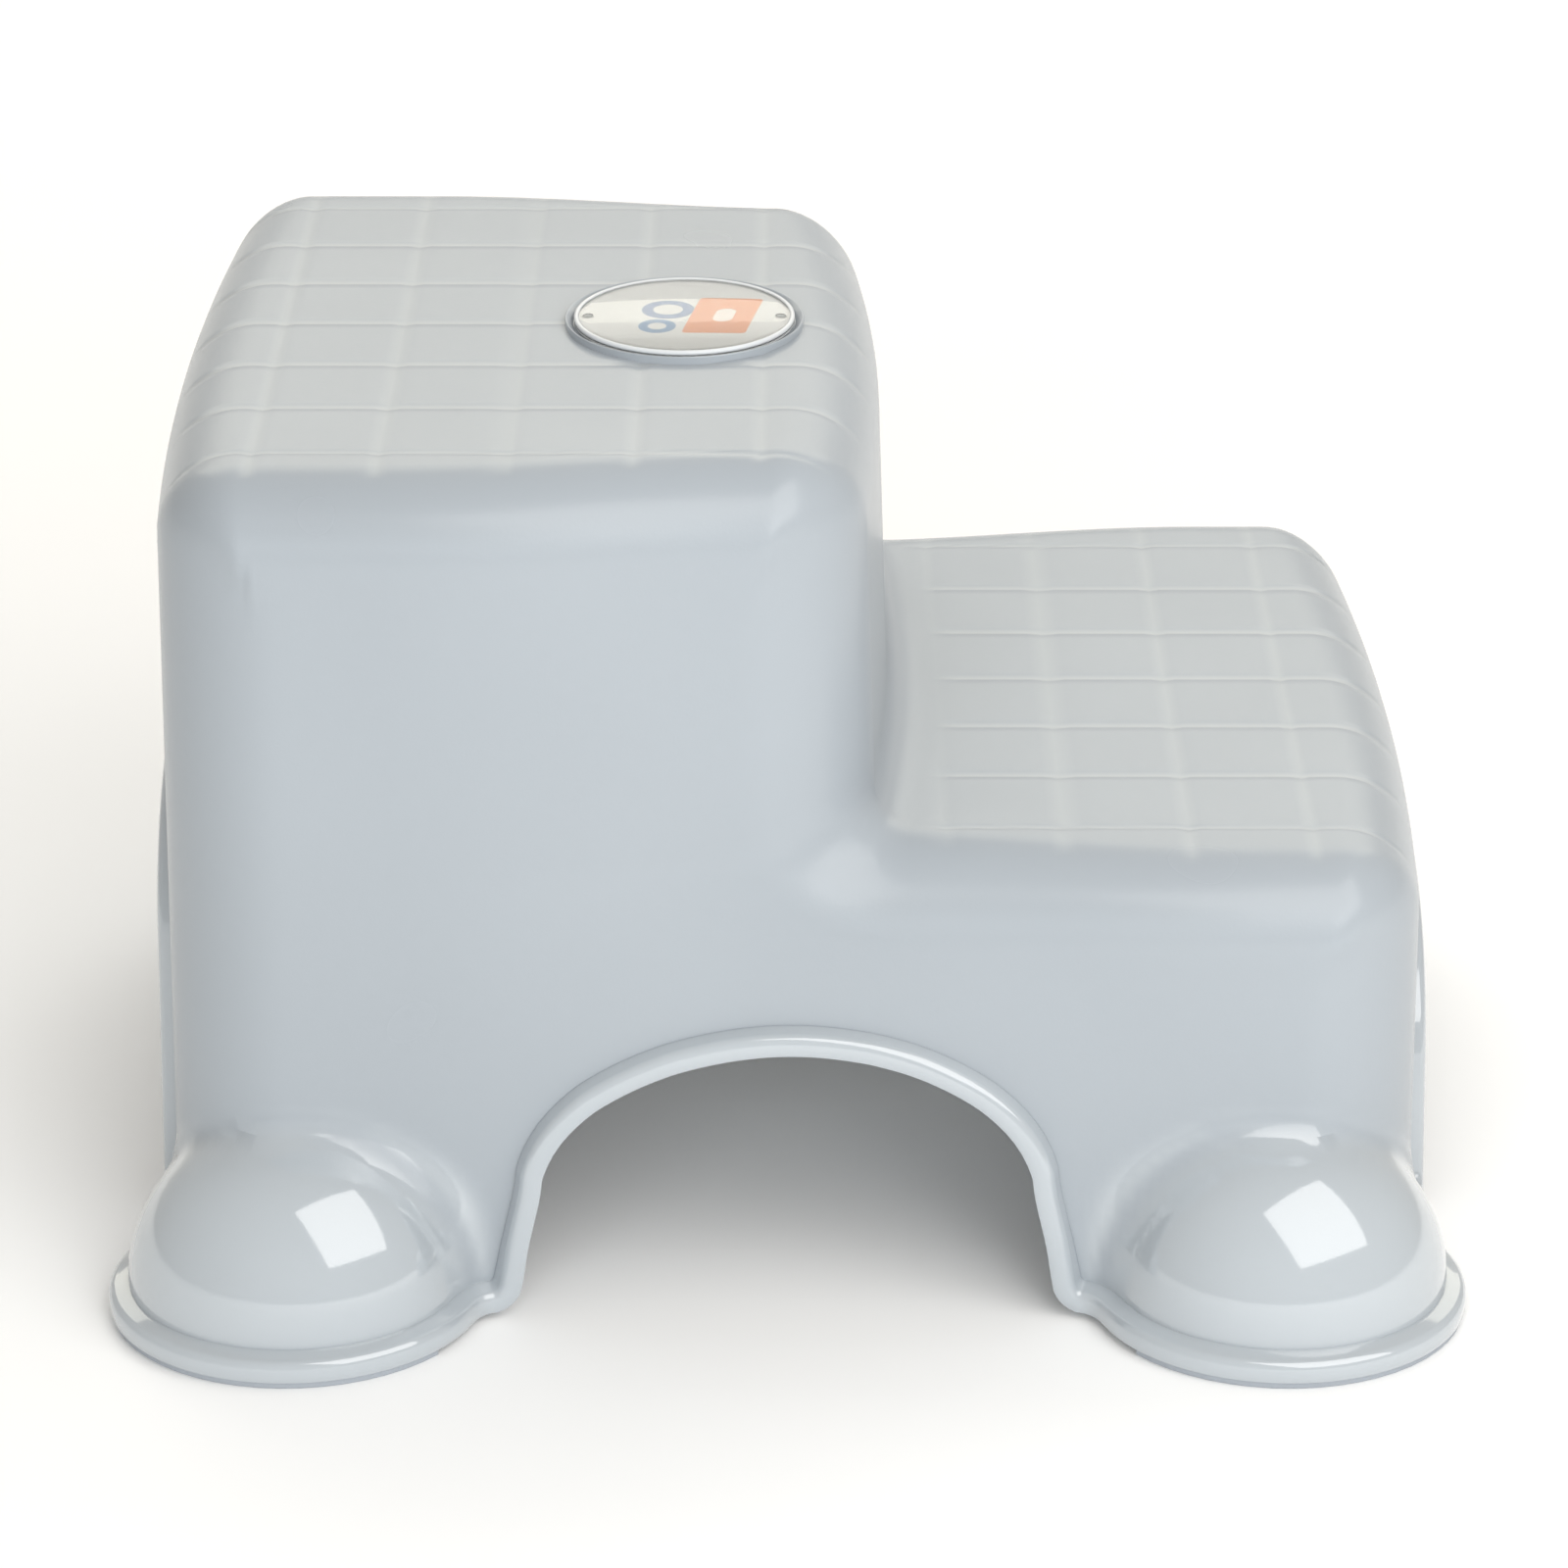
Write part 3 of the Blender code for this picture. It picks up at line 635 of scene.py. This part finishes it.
sideways = np.clip(1.6 - 4 * np.abs(normals[:, 1]), 0, 1)
pressed = ROW_DEPTH * row * facing_up * sideways
pressed = np.maximum(pressed, COLUMN_DEPTH * column * level)
pressed += DIMPLE_DEPTH * dimple * level
points = points - normals * (pressed * clear_of_riser)[:, None]
write_points(shell, points)
# Painted highlight: this value makes the grooves' colour paler, standing for the light they catch.
groove_highlight = np.maximum(row * facing_up * sideways, 0.45 * column * level) * clear_of_riser
painted_groove_highlight = shell.data.attributes.new("painted_groove_highlight", "FLOAT", "POINT")
painted_groove_highlight.data.foreach_set("value", groove_highlight)
print("deepest groove", round(float(pressed.max()) * 1000, 2), "mm")


# %% [markdown]
# ### The lip
# A rounded lip runs round the whole free edge: up and over each arch and round each foot. It stands
# out from the wall and then carries on past it. A bevelled curve could follow the edge, but it would
# be a separate tube. Here the free edge itself is carried out ring by ring, each point in its own
# frame: away from the wall, and onwards past the wall's end. Away from the wall is read from the true
# surface's slope, because a mesh's own normals waver at the tight heels of the arches.


# %% Carry the edge out into a lip
def lip_section():
    """Distances (out from the wall, on past its end) of the lip's rings."""
    rise = LIP_ROUND * 0.35
    rings = [(0.0012, 0.0001), (LIP_OUT - LIP_ROUND, rise)]
    for turn in np.radians([18, 36, 54, 72, 90]):
        out_by = LIP_OUT - LIP_ROUND + LIP_ROUND * math.sin(turn)
        rings.append((out_by, rise + LIP_ROUND * (1 - math.cos(turn))))
    rings += [(LIP_OUT, LIP_RUN * 0.65), (LIP_OUT, LIP_RUN - 0.0005), (LIP_OUT - 0.0003, LIP_RUN)]
    return rings


def outward(place, probe=0.0003):
    """The true surface's direction outwards at a place."""
    slope = []
    for axis in range(3):
        ahead, behind = np.array([place]), np.array([place])
        ahead[0, axis] += probe
        behind[0, axis] -= probe
        slope.append(float((shell_distance(*ahead.T) - shell_distance(*behind.T))[0]))
    return Vector(slope).normalized()


lip = bmesh.new()
lip.from_mesh(shell.data)
bmesh.ops.recalc_face_normals(lip, faces=lip.faces)
lip.normal_update()
turns_round = [edge.link_loops[0] for edge in lip.edges if edge.is_boundary]
after = {loop.vert: loop.link_loop_next.vert for loop in turns_round}
before = {two: one for one, two in after.items()}
edge_list = [edge for edge in lip.edges if edge.is_boundary]
out_at, past_at, start_at = {}, {}, {}
for vert in after:
    along = (after[vert].co - before[vert].co).normalized()
    straight_out = outward(vert.co)
    out_at[vert] = (straight_out - along * straight_out.dot(along)).normalized()
    start_at[vert] = vert.co.copy()
for _ in range(2):
    smoothed = {v: (out_at[before[v]] + 2 * out_at[v] + out_at[after[v]]).normalized() for v in after}
    out_at = smoothed
for vert in after:
    along = (after[vert].co - before[vert].co).normalized()
    past_at[vert] = along.cross(out_at[vert]).normalized()
source = {vert: vert for vert in after}
for out_by, past_by in lip_section():
    ring = {}
    for vert in after:
        place = start_at[vert] + out_at[vert] * out_by + past_at[vert] * past_by
        if start_at[vert].z < LIP_START + 1e-4 and past_at[vert].z < -0.9:
            place.z = LIP_START - past_by
        ring[vert] = lip.verts.new(place)
    for edge in edge_list:
        one, two = edge.verts
        lip.faces.new((source[one], source[two], ring[two], ring[one]))
    source = ring
bmesh.ops.recalc_face_normals(lip, faces=lip.faces)
lip.to_mesh(shell.data)
lip.free()
print("lip added,", len(shell.data.polygons), "faces")

# %% [markdown]
# The feet and the lip come out of the mould glossier than the walls and treads, which have a satin
# finish. A value is stored at each point, 1 on the glossy parts and 0 elsewhere, and the plastic reads
# it for its gloss, and also for a painted sheen: a paler colour on those parts. Then the skin gets its
# thickness with Solidify.

# %% Gloss, thickness and shading
points = read_points(shell)
on_dome = 1 - np.clip(foot_distance(*points.T) / 0.002, 0, 1)
outside_wall = np.clip(body_distance(*points.T) / 0.0015, 0, 1)
clear_of_dome = np.clip((foot_distance(*points.T) - 0.004) / 0.002, 0, 1)
on_rim = np.clip((LIP_START + 0.001 - points[:, 2]) / 0.001, 0, 1)
gloss = np.maximum(on_dome * (points[:, 2] < LIP_START + FOOT_DOME), outside_wall * clear_of_dome)
gloss = np.maximum(gloss, on_rim)
# This value also drives a painted sheen, a paler colour on the feet and the lip.
sheen = shell.data.attributes.new("gloss_and_painted_sheen", "FLOAT", "POINT")
sheen.data.foreach_set("value", gloss)

thickness = shell.modifiers.new("thickness", "SOLIDIFY")
thickness.thickness = WALL
thickness.offset = -1
thickness.use_even_offset = True
thickness.use_quality_normals = True
select_only(shell)
outer = read_points(shell)
outer_normals = read_points(shell, "normal")
bpy.ops.object.modifier_apply(modifier=thickness.name)
points = read_points(shell)
inner = points[len(outer) : 2 * len(outer)]
too_far = np.linalg.norm(inner - outer, axis=1) > 1.8 * WALL
inner[too_far] = (outer - outer_normals * WALL)[too_far]
write_points(shell, points)
print("inner points brought back in tight corners", int(too_far.sum()))
bpy.ops.object.shade_smooth_by_angle(angle=math.radians(40))
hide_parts("stool_shell")
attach(shell, "root")
print("shell", sum(len(face.vertices) - 2 for face in shell.data.polygons), "triangles")

# %% [markdown]
# ### Ribs under the treads
# Thin plates under both treads keep them stiff. They belong to the same moulding, and they show from
# below. Each is a block with its edges bevelled, and they are joined into one piece.

# %% Under-tread ribs
RIB_THICK = 0.0022
RIB_DEPTH = 0.012
RIB_Y = 0.054
RIB_SINK = 0.0012
rib_side = SIDE_REACH - SIDE_DRAFT * HIGH_TREAD - WAIST_DEPTH - CORNER_RADIUS
rib_plans = (
    (HIGH_TREAD, -BACK_REACH + CORNER_RADIUS, RISER_X - CORNER_RADIUS, (-0.115, -0.045)),
    (LOW_TREAD, RISER_X + RISER_FILLET, FRONT_REACH - CORNER_RADIUS, (0.110,)),
)
ribs = []
for tread, start, end, crossings in rib_plans:
    top = tread - WALL + RIB_SINK
    for side in (-1, 1):
        near, far = side * RIB_Y - RIB_THICK / 2, side * RIB_Y + RIB_THICK / 2
        ribs.append(add_block("rib", (start, near, top - RIB_DEPTH), (end, far, top)))
    for place in crossings:
        back, front = place - RIB_THICK / 2, place + RIB_THICK / 2
        low, high = (back, -rib_side, top - RIB_DEPTH), (front, rib_side, top)
        ribs.append(add_block("rib", low, high))
for rib in ribs:
    select_only(rib)
    bpy.ops.object.mode_set(mode="EDIT")
    bpy.ops.mesh.select_all(action="SELECT")
    bpy.ops.mesh.bevel(offset=0.0005, segments=2, affect="EDGES")
    bpy.ops.object.mode_set(mode="OBJECT")
deselect_everything()
for rib in ribs:
    rib.select_set(True)
bpy.context.view_layer.objects.active = ribs[0]
bpy.ops.object.join()
tread_ribs = name_it("tread_ribs")
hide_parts("stool_shell")
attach(tread_ribs, "root")
print("ribs", len(tread_ribs.data.polygons), "faces")

# %% [markdown]
# ## The badge
# A raised collar on the upper tread holds a printed card under a clear domed cover. The collar is a
# short cylinder: its top is inset by the wall's width and pushed down into a recess, and its edges
# are bevelled.

# %% Collar
BADGE_X = -0.031
BADGE_Y = 0.0
BADGE_RADIUS = 0.0335
COLLAR_WIDTH = 0.0025
RECESS_DEPTH = 0.0022
ROUND_SIDES = 128
collar_bottom = HIGH_TREAD - 0.0010
collar_top = HIGH_TREAD + COLLAR_RISE
deselect_everything()
bpy.ops.mesh.primitive_cylinder_add(
    vertices=ROUND_SIDES,
    radius=BADGE_RADIUS + COLLAR_WIDTH,
    depth=collar_top - collar_bottom,
    location=(BADGE_X, BADGE_Y, (collar_top + collar_bottom) / 2),
)
collar = name_it("badge_collar")
bpy.ops.object.transform_apply(location=True, rotation=True, scale=True)
bpy.ops.object.mode_set(mode="EDIT")
select_faces(collar, lambda at, facing: facing.z > 0.9)
bpy.ops.mesh.inset(thickness=COLLAR_WIDTH)
bpy.ops.transform.translate(value=(0, 0, -RECESS_DEPTH))
select_edges(collar, lambda one, two: min(one.z, two.z) > collar_top - 1e-5)
bpy.ops.mesh.bevel(offset=0.0009, segments=4, affect="EDGES")
bpy.ops.object.mode_set(mode="OBJECT")
bpy.ops.object.shade_smooth_by_angle(angle=math.radians(40))
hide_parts("stool_shell")
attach(collar, "root")
print("collar", len(collar.data.polygons), "faces")

# %% [markdown]
# The cover is a thin disc whose top is inset again and again and raised to a shallow dome. Two short
# pegs under it, near its edge, show through the clear plastic.

# %% Clear cover
GAP = 0.0003
CARD_THICK = 0.0004
LENS_THICK = 0.0012
LENS_CROWN = 0.0012
PEG_OFFSET = 0.0290
PEG_RADIUS = 0.0016
PEG_LENGTH = 0.0060
lens_low = collar_top - RECESS_DEPTH + 2 * GAP + CARD_THICK
lens_radius = BADGE_RADIUS - GAP
deselect_everything()
bpy.ops.mesh.primitive_cylinder_add(
    vertices=ROUND_SIDES,
    radius=lens_radius,
    depth=LENS_THICK,
    location=(BADGE_X, BADGE_Y, lens_low + LENS_THICK / 2),
)
cover = name_it("clear_cover")
bpy.ops.object.transform_apply(location=True, rotation=True, scale=True)
bpy.ops.object.mode_set(mode="EDIT")
select_faces(cover, lambda at, facing: facing.z > 0.9)
for _ in range(9):
    bpy.ops.mesh.inset(thickness=lens_radius / 10)
bpy.ops.object.mode_set(mode="OBJECT")
points = read_points(cover)
from_middle = np.hypot(points[:, 0] - BADGE_X, points[:, 1] - BADGE_Y) / lens_radius
on_top = points[:, 2] > lens_low + LENS_THICK / 2
points[on_top, 2] += LENS_CROWN * (1 - from_middle[on_top] ** 2)
write_points(cover, points)
bpy.ops.object.mode_set(mode="EDIT")
badge_middle = Vector((BADGE_X, BADGE_Y))


def on_top_rim(place):
    return place.z > lens_low + LENS_THICK / 2 and (place.xy - badge_middle).length > lens_radius - 1e-5


select_edges(cover, lambda one, two: on_top_rim(one) and on_top_rim(two))
bpy.ops.mesh.bevel(offset=0.0009, segments=5, affect="EDGES")
bpy.ops.object.mode_set(mode="OBJECT")
pegs = []
for side in (-1, 1):
    deselect_everything()
    bpy.ops.mesh.primitive_cylinder_add(
        vertices=24,
        radius=PEG_RADIUS,
        depth=PEG_LENGTH,
        location=(BADGE_X + side * PEG_OFFSET, BADGE_Y, lens_low + 0.0003 - PEG_LENGTH / 2),
    )
    peg = name_it("cover_peg")
    bpy.ops.object.transform_apply(location=True, rotation=True, scale=True)
    bpy.ops.object.mode_set(mode="EDIT")
    select_edges(peg, lambda one, two: abs(one.z - two.z) < 1e-6)
    bpy.ops.mesh.bevel(offset=0.0003, segments=2, affect="EDGES")
    bpy.ops.object.mode_set(mode="OBJECT")
    pegs.append(peg)
deselect_everything()
for obj in pegs + [cover]:
    obj.select_set(True)
bpy.context.view_layer.objects.active = cover
bpy.ops.object.join()
bpy.ops.object.shade_smooth_by_angle(angle=math.radians(40))
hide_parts("badge_lens")
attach(cover, "root")
print("cover", len(cover.data.polygons), "faces")

# %% [markdown]
# The cover's outer edge is a rounded bead. It is made as a pale opaque ring, whose whitish colour is a
# painted highlight standing for the glint on the clear edge. A torus is that shape already, so it is
# added at its size, a little inside the cover's own edge.

# %% Painted glint on the cover's edge
EDGE_ROUND = 0.0008
deselect_everything()
bpy.ops.mesh.primitive_torus_add(
    major_segments=ROUND_SIDES,
    minor_segments=16,
    major_radius=lens_radius - EDGE_ROUND + 0.0001,
    minor_radius=EDGE_ROUND,
    location=(BADGE_X, BADGE_Y, lens_low + EDGE_ROUND),
)
glint_ring = name_it("glint_ring")
bpy.ops.object.transform_apply(location=True, rotation=True, scale=True)
bpy.ops.object.shade_smooth()
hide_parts("badge_lens")
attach(glint_ring, "root")
print("cover's edge", len(glint_ring.data.polygons), "faces")

# %% [markdown]
# ## Finishes
# A moulded surface is never one flat colour. A shared group of nodes gives every plastic and rubber
# piece a faint cloudiness and fine pits, and the rubber a few tiny specks, each piece with its own
# values. The shader stays outside the group, which only puts out a colour, a roughness and a height.


# %% Shared group: moulded surface
def new_group_socket(group, name, kind, direction, value=None):
    socket = group.interface.new_socket(name=name, in_out=direction, socket_type=kind)
    if value is not None:
        socket.default_value = value
    return socket


def node(tree, kind, **settings):
    made = tree.nodes.new(kind)
    for setting, value in settings.items():
        setattr(made, setting, value)
    return made


def mix_colour(tree, factor, one, two):
    """A colour mix whose factor and colours are sockets or plain values."""
    made = node(tree, "ShaderNodeMix", data_type="RGBA")
    for index, value in ((0, factor), (6, one), (7, two)):
        if isinstance(value, bpy.types.NodeSocket):
            tree.links.new(value, made.inputs[index])
        else:
            made.inputs[index].default_value = value
    return made.outputs[2]


def maths(tree, operation, *values):
    made = node(tree, "ShaderNodeMath", operation=operation)
    for index, value in enumerate(values):
        if isinstance(value, bpy.types.NodeSocket):
            tree.links.new(value, made.inputs[index])
        else:
            made.inputs[index].default_value = value
    return made.outputs[0]


def noise(tree, where, scale, detail=2.0):
    """A soft random value that changes over space; a larger scale is finer."""
    made = node(tree, "ShaderNodeTexNoise")
    made.inputs["Scale"].default_value = scale
    made.inputs["Detail"].default_value = detail
    tree.links.new(where, made.inputs["Vector"])
    return made.outputs["Fac"]


def ramp(tree, value, low, high):
    """A value stretched so that low becomes 0 and high becomes 1."""
    made = node(tree, "ShaderNodeMapRange", clamp=True)
    made.inputs["From Min"].default_value = low
    made.inputs["From Max"].default_value = high
    tree.links.new(value, made.inputs["Value"])
    return made.outputs["Result"]


surface = bpy.data.node_groups.new("moulded_surface", "ShaderNodeTree")
new_group_socket(surface, "Colour", "NodeSocketColor", "INPUT", (0.5, 0.5, 0.5, 1.0))
new_group_socket(surface, "Cloudiness", "NodeSocketFloat", "INPUT", 0.04)
new_group_socket(surface, "Roughness", "NodeSocketFloat", "INPUT", 0.3)
new_group_socket(surface, "Specks", "NodeSocketFloat", "INPUT", 0.5)
new_group_socket(surface, "Colour", "NodeSocketColor", "OUTPUT")
new_group_socket(surface, "Roughness", "NodeSocketFloat", "OUTPUT")
new_group_socket(surface, "Height", "NodeSocketFloat", "OUTPUT")
given = node(surface, "NodeGroupInput")
result = node(surface, "NodeGroupOutput")
where = node(surface, "ShaderNodeTexCoord").outputs["Object"]
clouds = noise(surface, where, 14.0, 1.0)
pits = noise(surface, where, 900.0, 2.0)
spots = node(surface, "ShaderNodeTexVoronoi", feature="F1")
spots.inputs["Scale"].default_value = 55.0
surface.links.new(where, spots.inputs["Vector"])
spot_size = ramp(surface, spots.outputs["Distance"], 0.035, 0.015)
chance = node(surface, "ShaderNodeSeparateColor")
surface.links.new(spots.outputs["Color"], chance.inputs["Color"])
chosen = maths(surface, "GREATER_THAN", chance.outputs["Red"], 0.985)
spot = maths(surface, "MULTIPLY", spot_size, chosen)
speck = maths(surface, "MULTIPLY", spot, given.outputs["Specks"])
darker = mix_colour(surface, 1.0, given.outputs["Colour"], (0.0, 0.0, 0.0, 1.0))
shade = maths(surface, "MULTIPLY", clouds, given.outputs["Cloudiness"])
clouded = mix_colour(surface, shade, given.outputs["Colour"], darker)
specked = mix_colour(surface, speck, clouded, (0.12, 0.12, 0.13, 1.0))
surface.links.new(specked, result.inputs["Colour"])
wander = maths(surface, "MULTIPLY", maths(surface, "SUBTRACT", clouds, 0.5), 0.06)
surface.links.new(maths(surface, "ADD", given.outputs["Roughness"], wander), result.inputs["Roughness"])
surface.links.new(pits, result.inputs["Height"])
print("group inputs", [item.name for item in surface.interface.items_tree])


# %% [markdown]
# The body's plastic is a pale cool grey, satin all over. Where the stored gloss value is 1, on the feet
# and the lip, it is smoother and clear-coated, and its colour is made paler there as a painted sheen.
# The grooves of the treads are made paler too, a painted highlight along them. Separate materials could
# be put on separate faces, but their edges would show, while values that are stored at the points fade
# into each other.


# %% Plastics and rubber
def new_material(name):
    made = bpy.data.materials.new(name)
    made.use_nodes = True
    return made, made.node_tree, made.node_tree.nodes["Principled BSDF"]


def moulded_material(name, colour, cloudiness, roughness, specks, bump, gloss_attribute=None):
    made, tree, shader = new_material(name)
    effect = node(tree, "ShaderNodeGroup", node_tree=surface)
    effect.inputs["Colour"].default_value = (*colour, 1.0)
    effect.inputs["Cloudiness"].default_value = cloudiness
    effect.inputs["Roughness"].default_value = roughness
    effect.inputs["Specks"].default_value = specks
    tree.links.new(effect.outputs["Colour"], shader.inputs["Base Color"])
    rough = effect.outputs["Roughness"]
    if gloss_attribute:
        stored = node(tree, "ShaderNodeAttribute", attribute_name=gloss_attribute)
        tree.links.new(stored.outputs["Fac"], shader.inputs["Coat Weight"])
        shader.inputs["Coat Roughness"].default_value = 0.06
        shader.inputs["Coat IOR"].default_value = 1.8
        smoother_by = maths(tree, "MULTIPLY", stored.outputs["Fac"], 0.62)
        rough = maths(tree, "MULTIPLY", rough, maths(tree, "SUBTRACT", 1.0, smoother_by))
    tree.links.new(rough, shader.inputs["Roughness"])
    relief = node(tree, "ShaderNodeBump")
    relief.inputs["Strength"].default_value = bump
    relief.inputs["Distance"].default_value = 0.0002
    tree.links.new(effect.outputs["Height"], relief.inputs["Height"])
    tree.links.new(relief.outputs["Normal"], shader.inputs["Normal"])
    return made


def tint_where(material, attribute, share, colour):
    """Mixes a share of a colour into the base colour, where a stored value is 1."""
    tree = material.node_tree
    base = tree.nodes["Principled BSDF"].inputs["Base Color"]
    stored = node(tree, "ShaderNodeAttribute", attribute_name=attribute).outputs["Fac"]
    tinted = mix_colour(tree, maths(tree, "MULTIPLY", stored, share), base.links[0].from_socket, colour)
    tree.links.new(tinted, base)


BODY_COLOUR = (0.352, 0.383, 0.416)
GROOVE_HIGHLIGHT_COLOUR = (0.48, 0.505, 0.515, 1.0)
PAINTED_SHEEN_COLOUR = (0.50, 0.54, 0.57, 1.0)
body_plastic = moulded_material("body_plastic", BODY_COLOUR, 0.05, 0.26, 0.0, 0.12, "gloss_and_painted_sheen")
# Painted highlight: the grooves' base colour is mixed paler.
tint_where(body_plastic, "painted_groove_highlight", 0.6, GROOVE_HIGHLIGHT_COLOUR)
# Painted sheen: the feet's and lip's base colour is mixed paler where the gloss value is 1.
tint_where(body_plastic, "gloss_and_painted_sheen", 0.42, PAINTED_SHEEN_COLOUR)
collar_plastic = moulded_material("collar_plastic", BODY_COLOUR, 0.05, 0.18, 0.0, 0.2)
# Painted highlight: the cover's edge ring is a pale grey that stands for the glint on the clear edge.
painted_glint_plastic = moulded_material("painted_glint_plastic", (0.66, 0.68, 0.70), 0.03, 0.12, 0.0, 0.05)
pad_rubber = moulded_material("pad_rubber", (0.36, 0.39, 0.43), 0.12, 0.62, 0.3, 0.8)


def finish_with(obj, material):
    obj.data.materials.clear()
    obj.data.materials.append(material)


finish_with(shell, body_plastic)
finish_with(tread_ribs, collar_plastic)
finish_with(collar, collar_plastic)
finish_with(glint_ring, painted_glint_plastic)
for end in ("front", "back"):
    for side in ("left", "right"):
        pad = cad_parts[f"foot_pad_{end}_{side}"]
        for pad_slot in pad.material_slots:
            pad_slot.material = pad_rubber

# %% [markdown]
# The cover is clear plastic: it lets light through and bends it, and its surface is polished with a
# few faint scuffs. The card below carries a generic print with no lettering: a leaning orange block
# with a pale middle, beside two blue rings on white. An image could hold it, but shapes drawn by nodes
# stay sharp at any size.

# %% Clear cover and printed card
clear, tree, shader = new_material("clear_plastic")
shader.inputs["Base Color"].default_value = (0.97, 0.975, 0.97, 1.0)
shader.inputs["Transmission Weight"].default_value = 1.0
shader.inputs["IOR"].default_value = 1.3
scuffs = noise(tree, node(tree, "ShaderNodeTexCoord").outputs["Object"], 160.0, 4.0)
tree.links.new(maths(tree, "MULTIPLY", ramp(tree, scuffs, 0.55, 0.75), 0.12), shader.inputs["Roughness"])
finish_with(cover, clear)

card, tree, shader = new_material("printed_card")
shader.inputs["Roughness"].default_value = 0.45
place = node(tree, "ShaderNodeMapping", vector_type="POINT")
place.inputs["Location"].default_value = (-BADGE_X, -BADGE_Y, 0.0)
tree.links.new(node(tree, "ShaderNodeTexCoord").outputs["Object"], place.inputs["Vector"])
split = node(tree, "ShaderNodeSeparateXYZ")
tree.links.new(place.outputs["Vector"], split.inputs["Vector"])
card_x, card_y = split.outputs["X"], split.outputs["Y"]


PRINT_EDGE = 0.00015


def inside_box(tree, x, y, centre, half, rounding, slant=0.0):
    """1 inside a rounded block, which leans by slant, and 0 outside."""
    from_y = maths(tree, "SUBTRACT", y, centre[1])
    leaning = maths(tree, "MULTIPLY_ADD", from_y, -slant, x)
    from_x = maths(tree, "SUBTRACT", leaning, centre[0])
    squares = []
    for offset, reach in ((from_x, half[0]), (from_y, half[1])):
        over = maths(tree, "SUBTRACT", maths(tree, "ABSOLUTE", offset), reach - rounding)
        squares.append(maths(tree, "POWER", maths(tree, "MAXIMUM", over, 0.0), 2.0))
    away = maths(tree, "SQRT", maths(tree, "ADD", *squares))
    return ramp(tree, away, rounding + PRINT_EDGE, rounding - PRINT_EDGE)


def ring_shape(tree, x, y, centre, radius, width):
    """1 on a ring and 0 elsewhere."""
    dx = maths(tree, "POWER", maths(tree, "SUBTRACT", x, centre[0]), 2.0)
    dy = maths(tree, "POWER", maths(tree, "SUBTRACT", y, centre[1]), 2.0)
    from_centre = maths(tree, "SQRT", maths(tree, "ADD", dx, dy))
    away = maths(tree, "ABSOLUTE", maths(tree, "SUBTRACT", from_centre, radius))
    return ramp(tree, away, width / 2 + PRINT_EDGE, width / 2 - PRINT_EDGE)


orange = inside_box(tree, card_x, card_y, (0.0115, 0.0), (0.0095, 0.0150), 0.0015, 0.18)
dot = inside_box(tree, card_x, card_y, (0.0120, 0.0), (0.0030, 0.0055), 0.0029, 0.18)
blue = ring_shape(tree, card_x, card_y, (-0.0050, 0.0045), 0.0062, 0.0034)
second = ring_shape(tree, card_x, card_y, (-0.0080, -0.0095), 0.0042, 0.0028)
paper_grain = noise(tree, place.outputs["Vector"], 700.0, 3.0)
paper = mix_colour(tree, paper_grain, (0.68, 0.69, 0.69, 1.0), (0.73, 0.74, 0.74, 1.0))
printed = mix_colour(tree, second, paper, (0.02, 0.18, 0.42, 1.0))
printed = mix_colour(tree, blue, printed, (0.0, 0.10, 0.34, 1.0))
printed = mix_colour(tree, orange, printed, (0.76, 0.19, 0.0, 1.0))
printed = mix_colour(tree, maths(tree, "MULTIPLY", dot, 0.9), printed, (0.90, 0.86, 0.82, 1.0))
tree.links.new(printed, shader.inputs["Base Color"])
for card_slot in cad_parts["badge_card"].material_slots:
    card_slot.material = card
print("card printed")

# %% [markdown]
# The studio's sweep is matt white paper, a little brighter and darker from place to place.

# %% Backdrop paper
sweep_paper, tree, shader = new_material("sweep_paper")
shader.inputs["Roughness"].default_value = 0.85
shader.inputs["Specular IOR Level"].default_value = 0.2
fibres = noise(tree, node(tree, "ShaderNodeTexCoord").outputs["Object"], 3.0, 2.0)
tree.links.new(
    mix_colour(tree, fibres, (0.93, 0.93, 0.93, 1.0), (0.95, 0.95, 0.95, 1.0)),
    shader.inputs["Base Color"],
)
finish_with(backdrop, sweep_paper)
print("backdrop done")
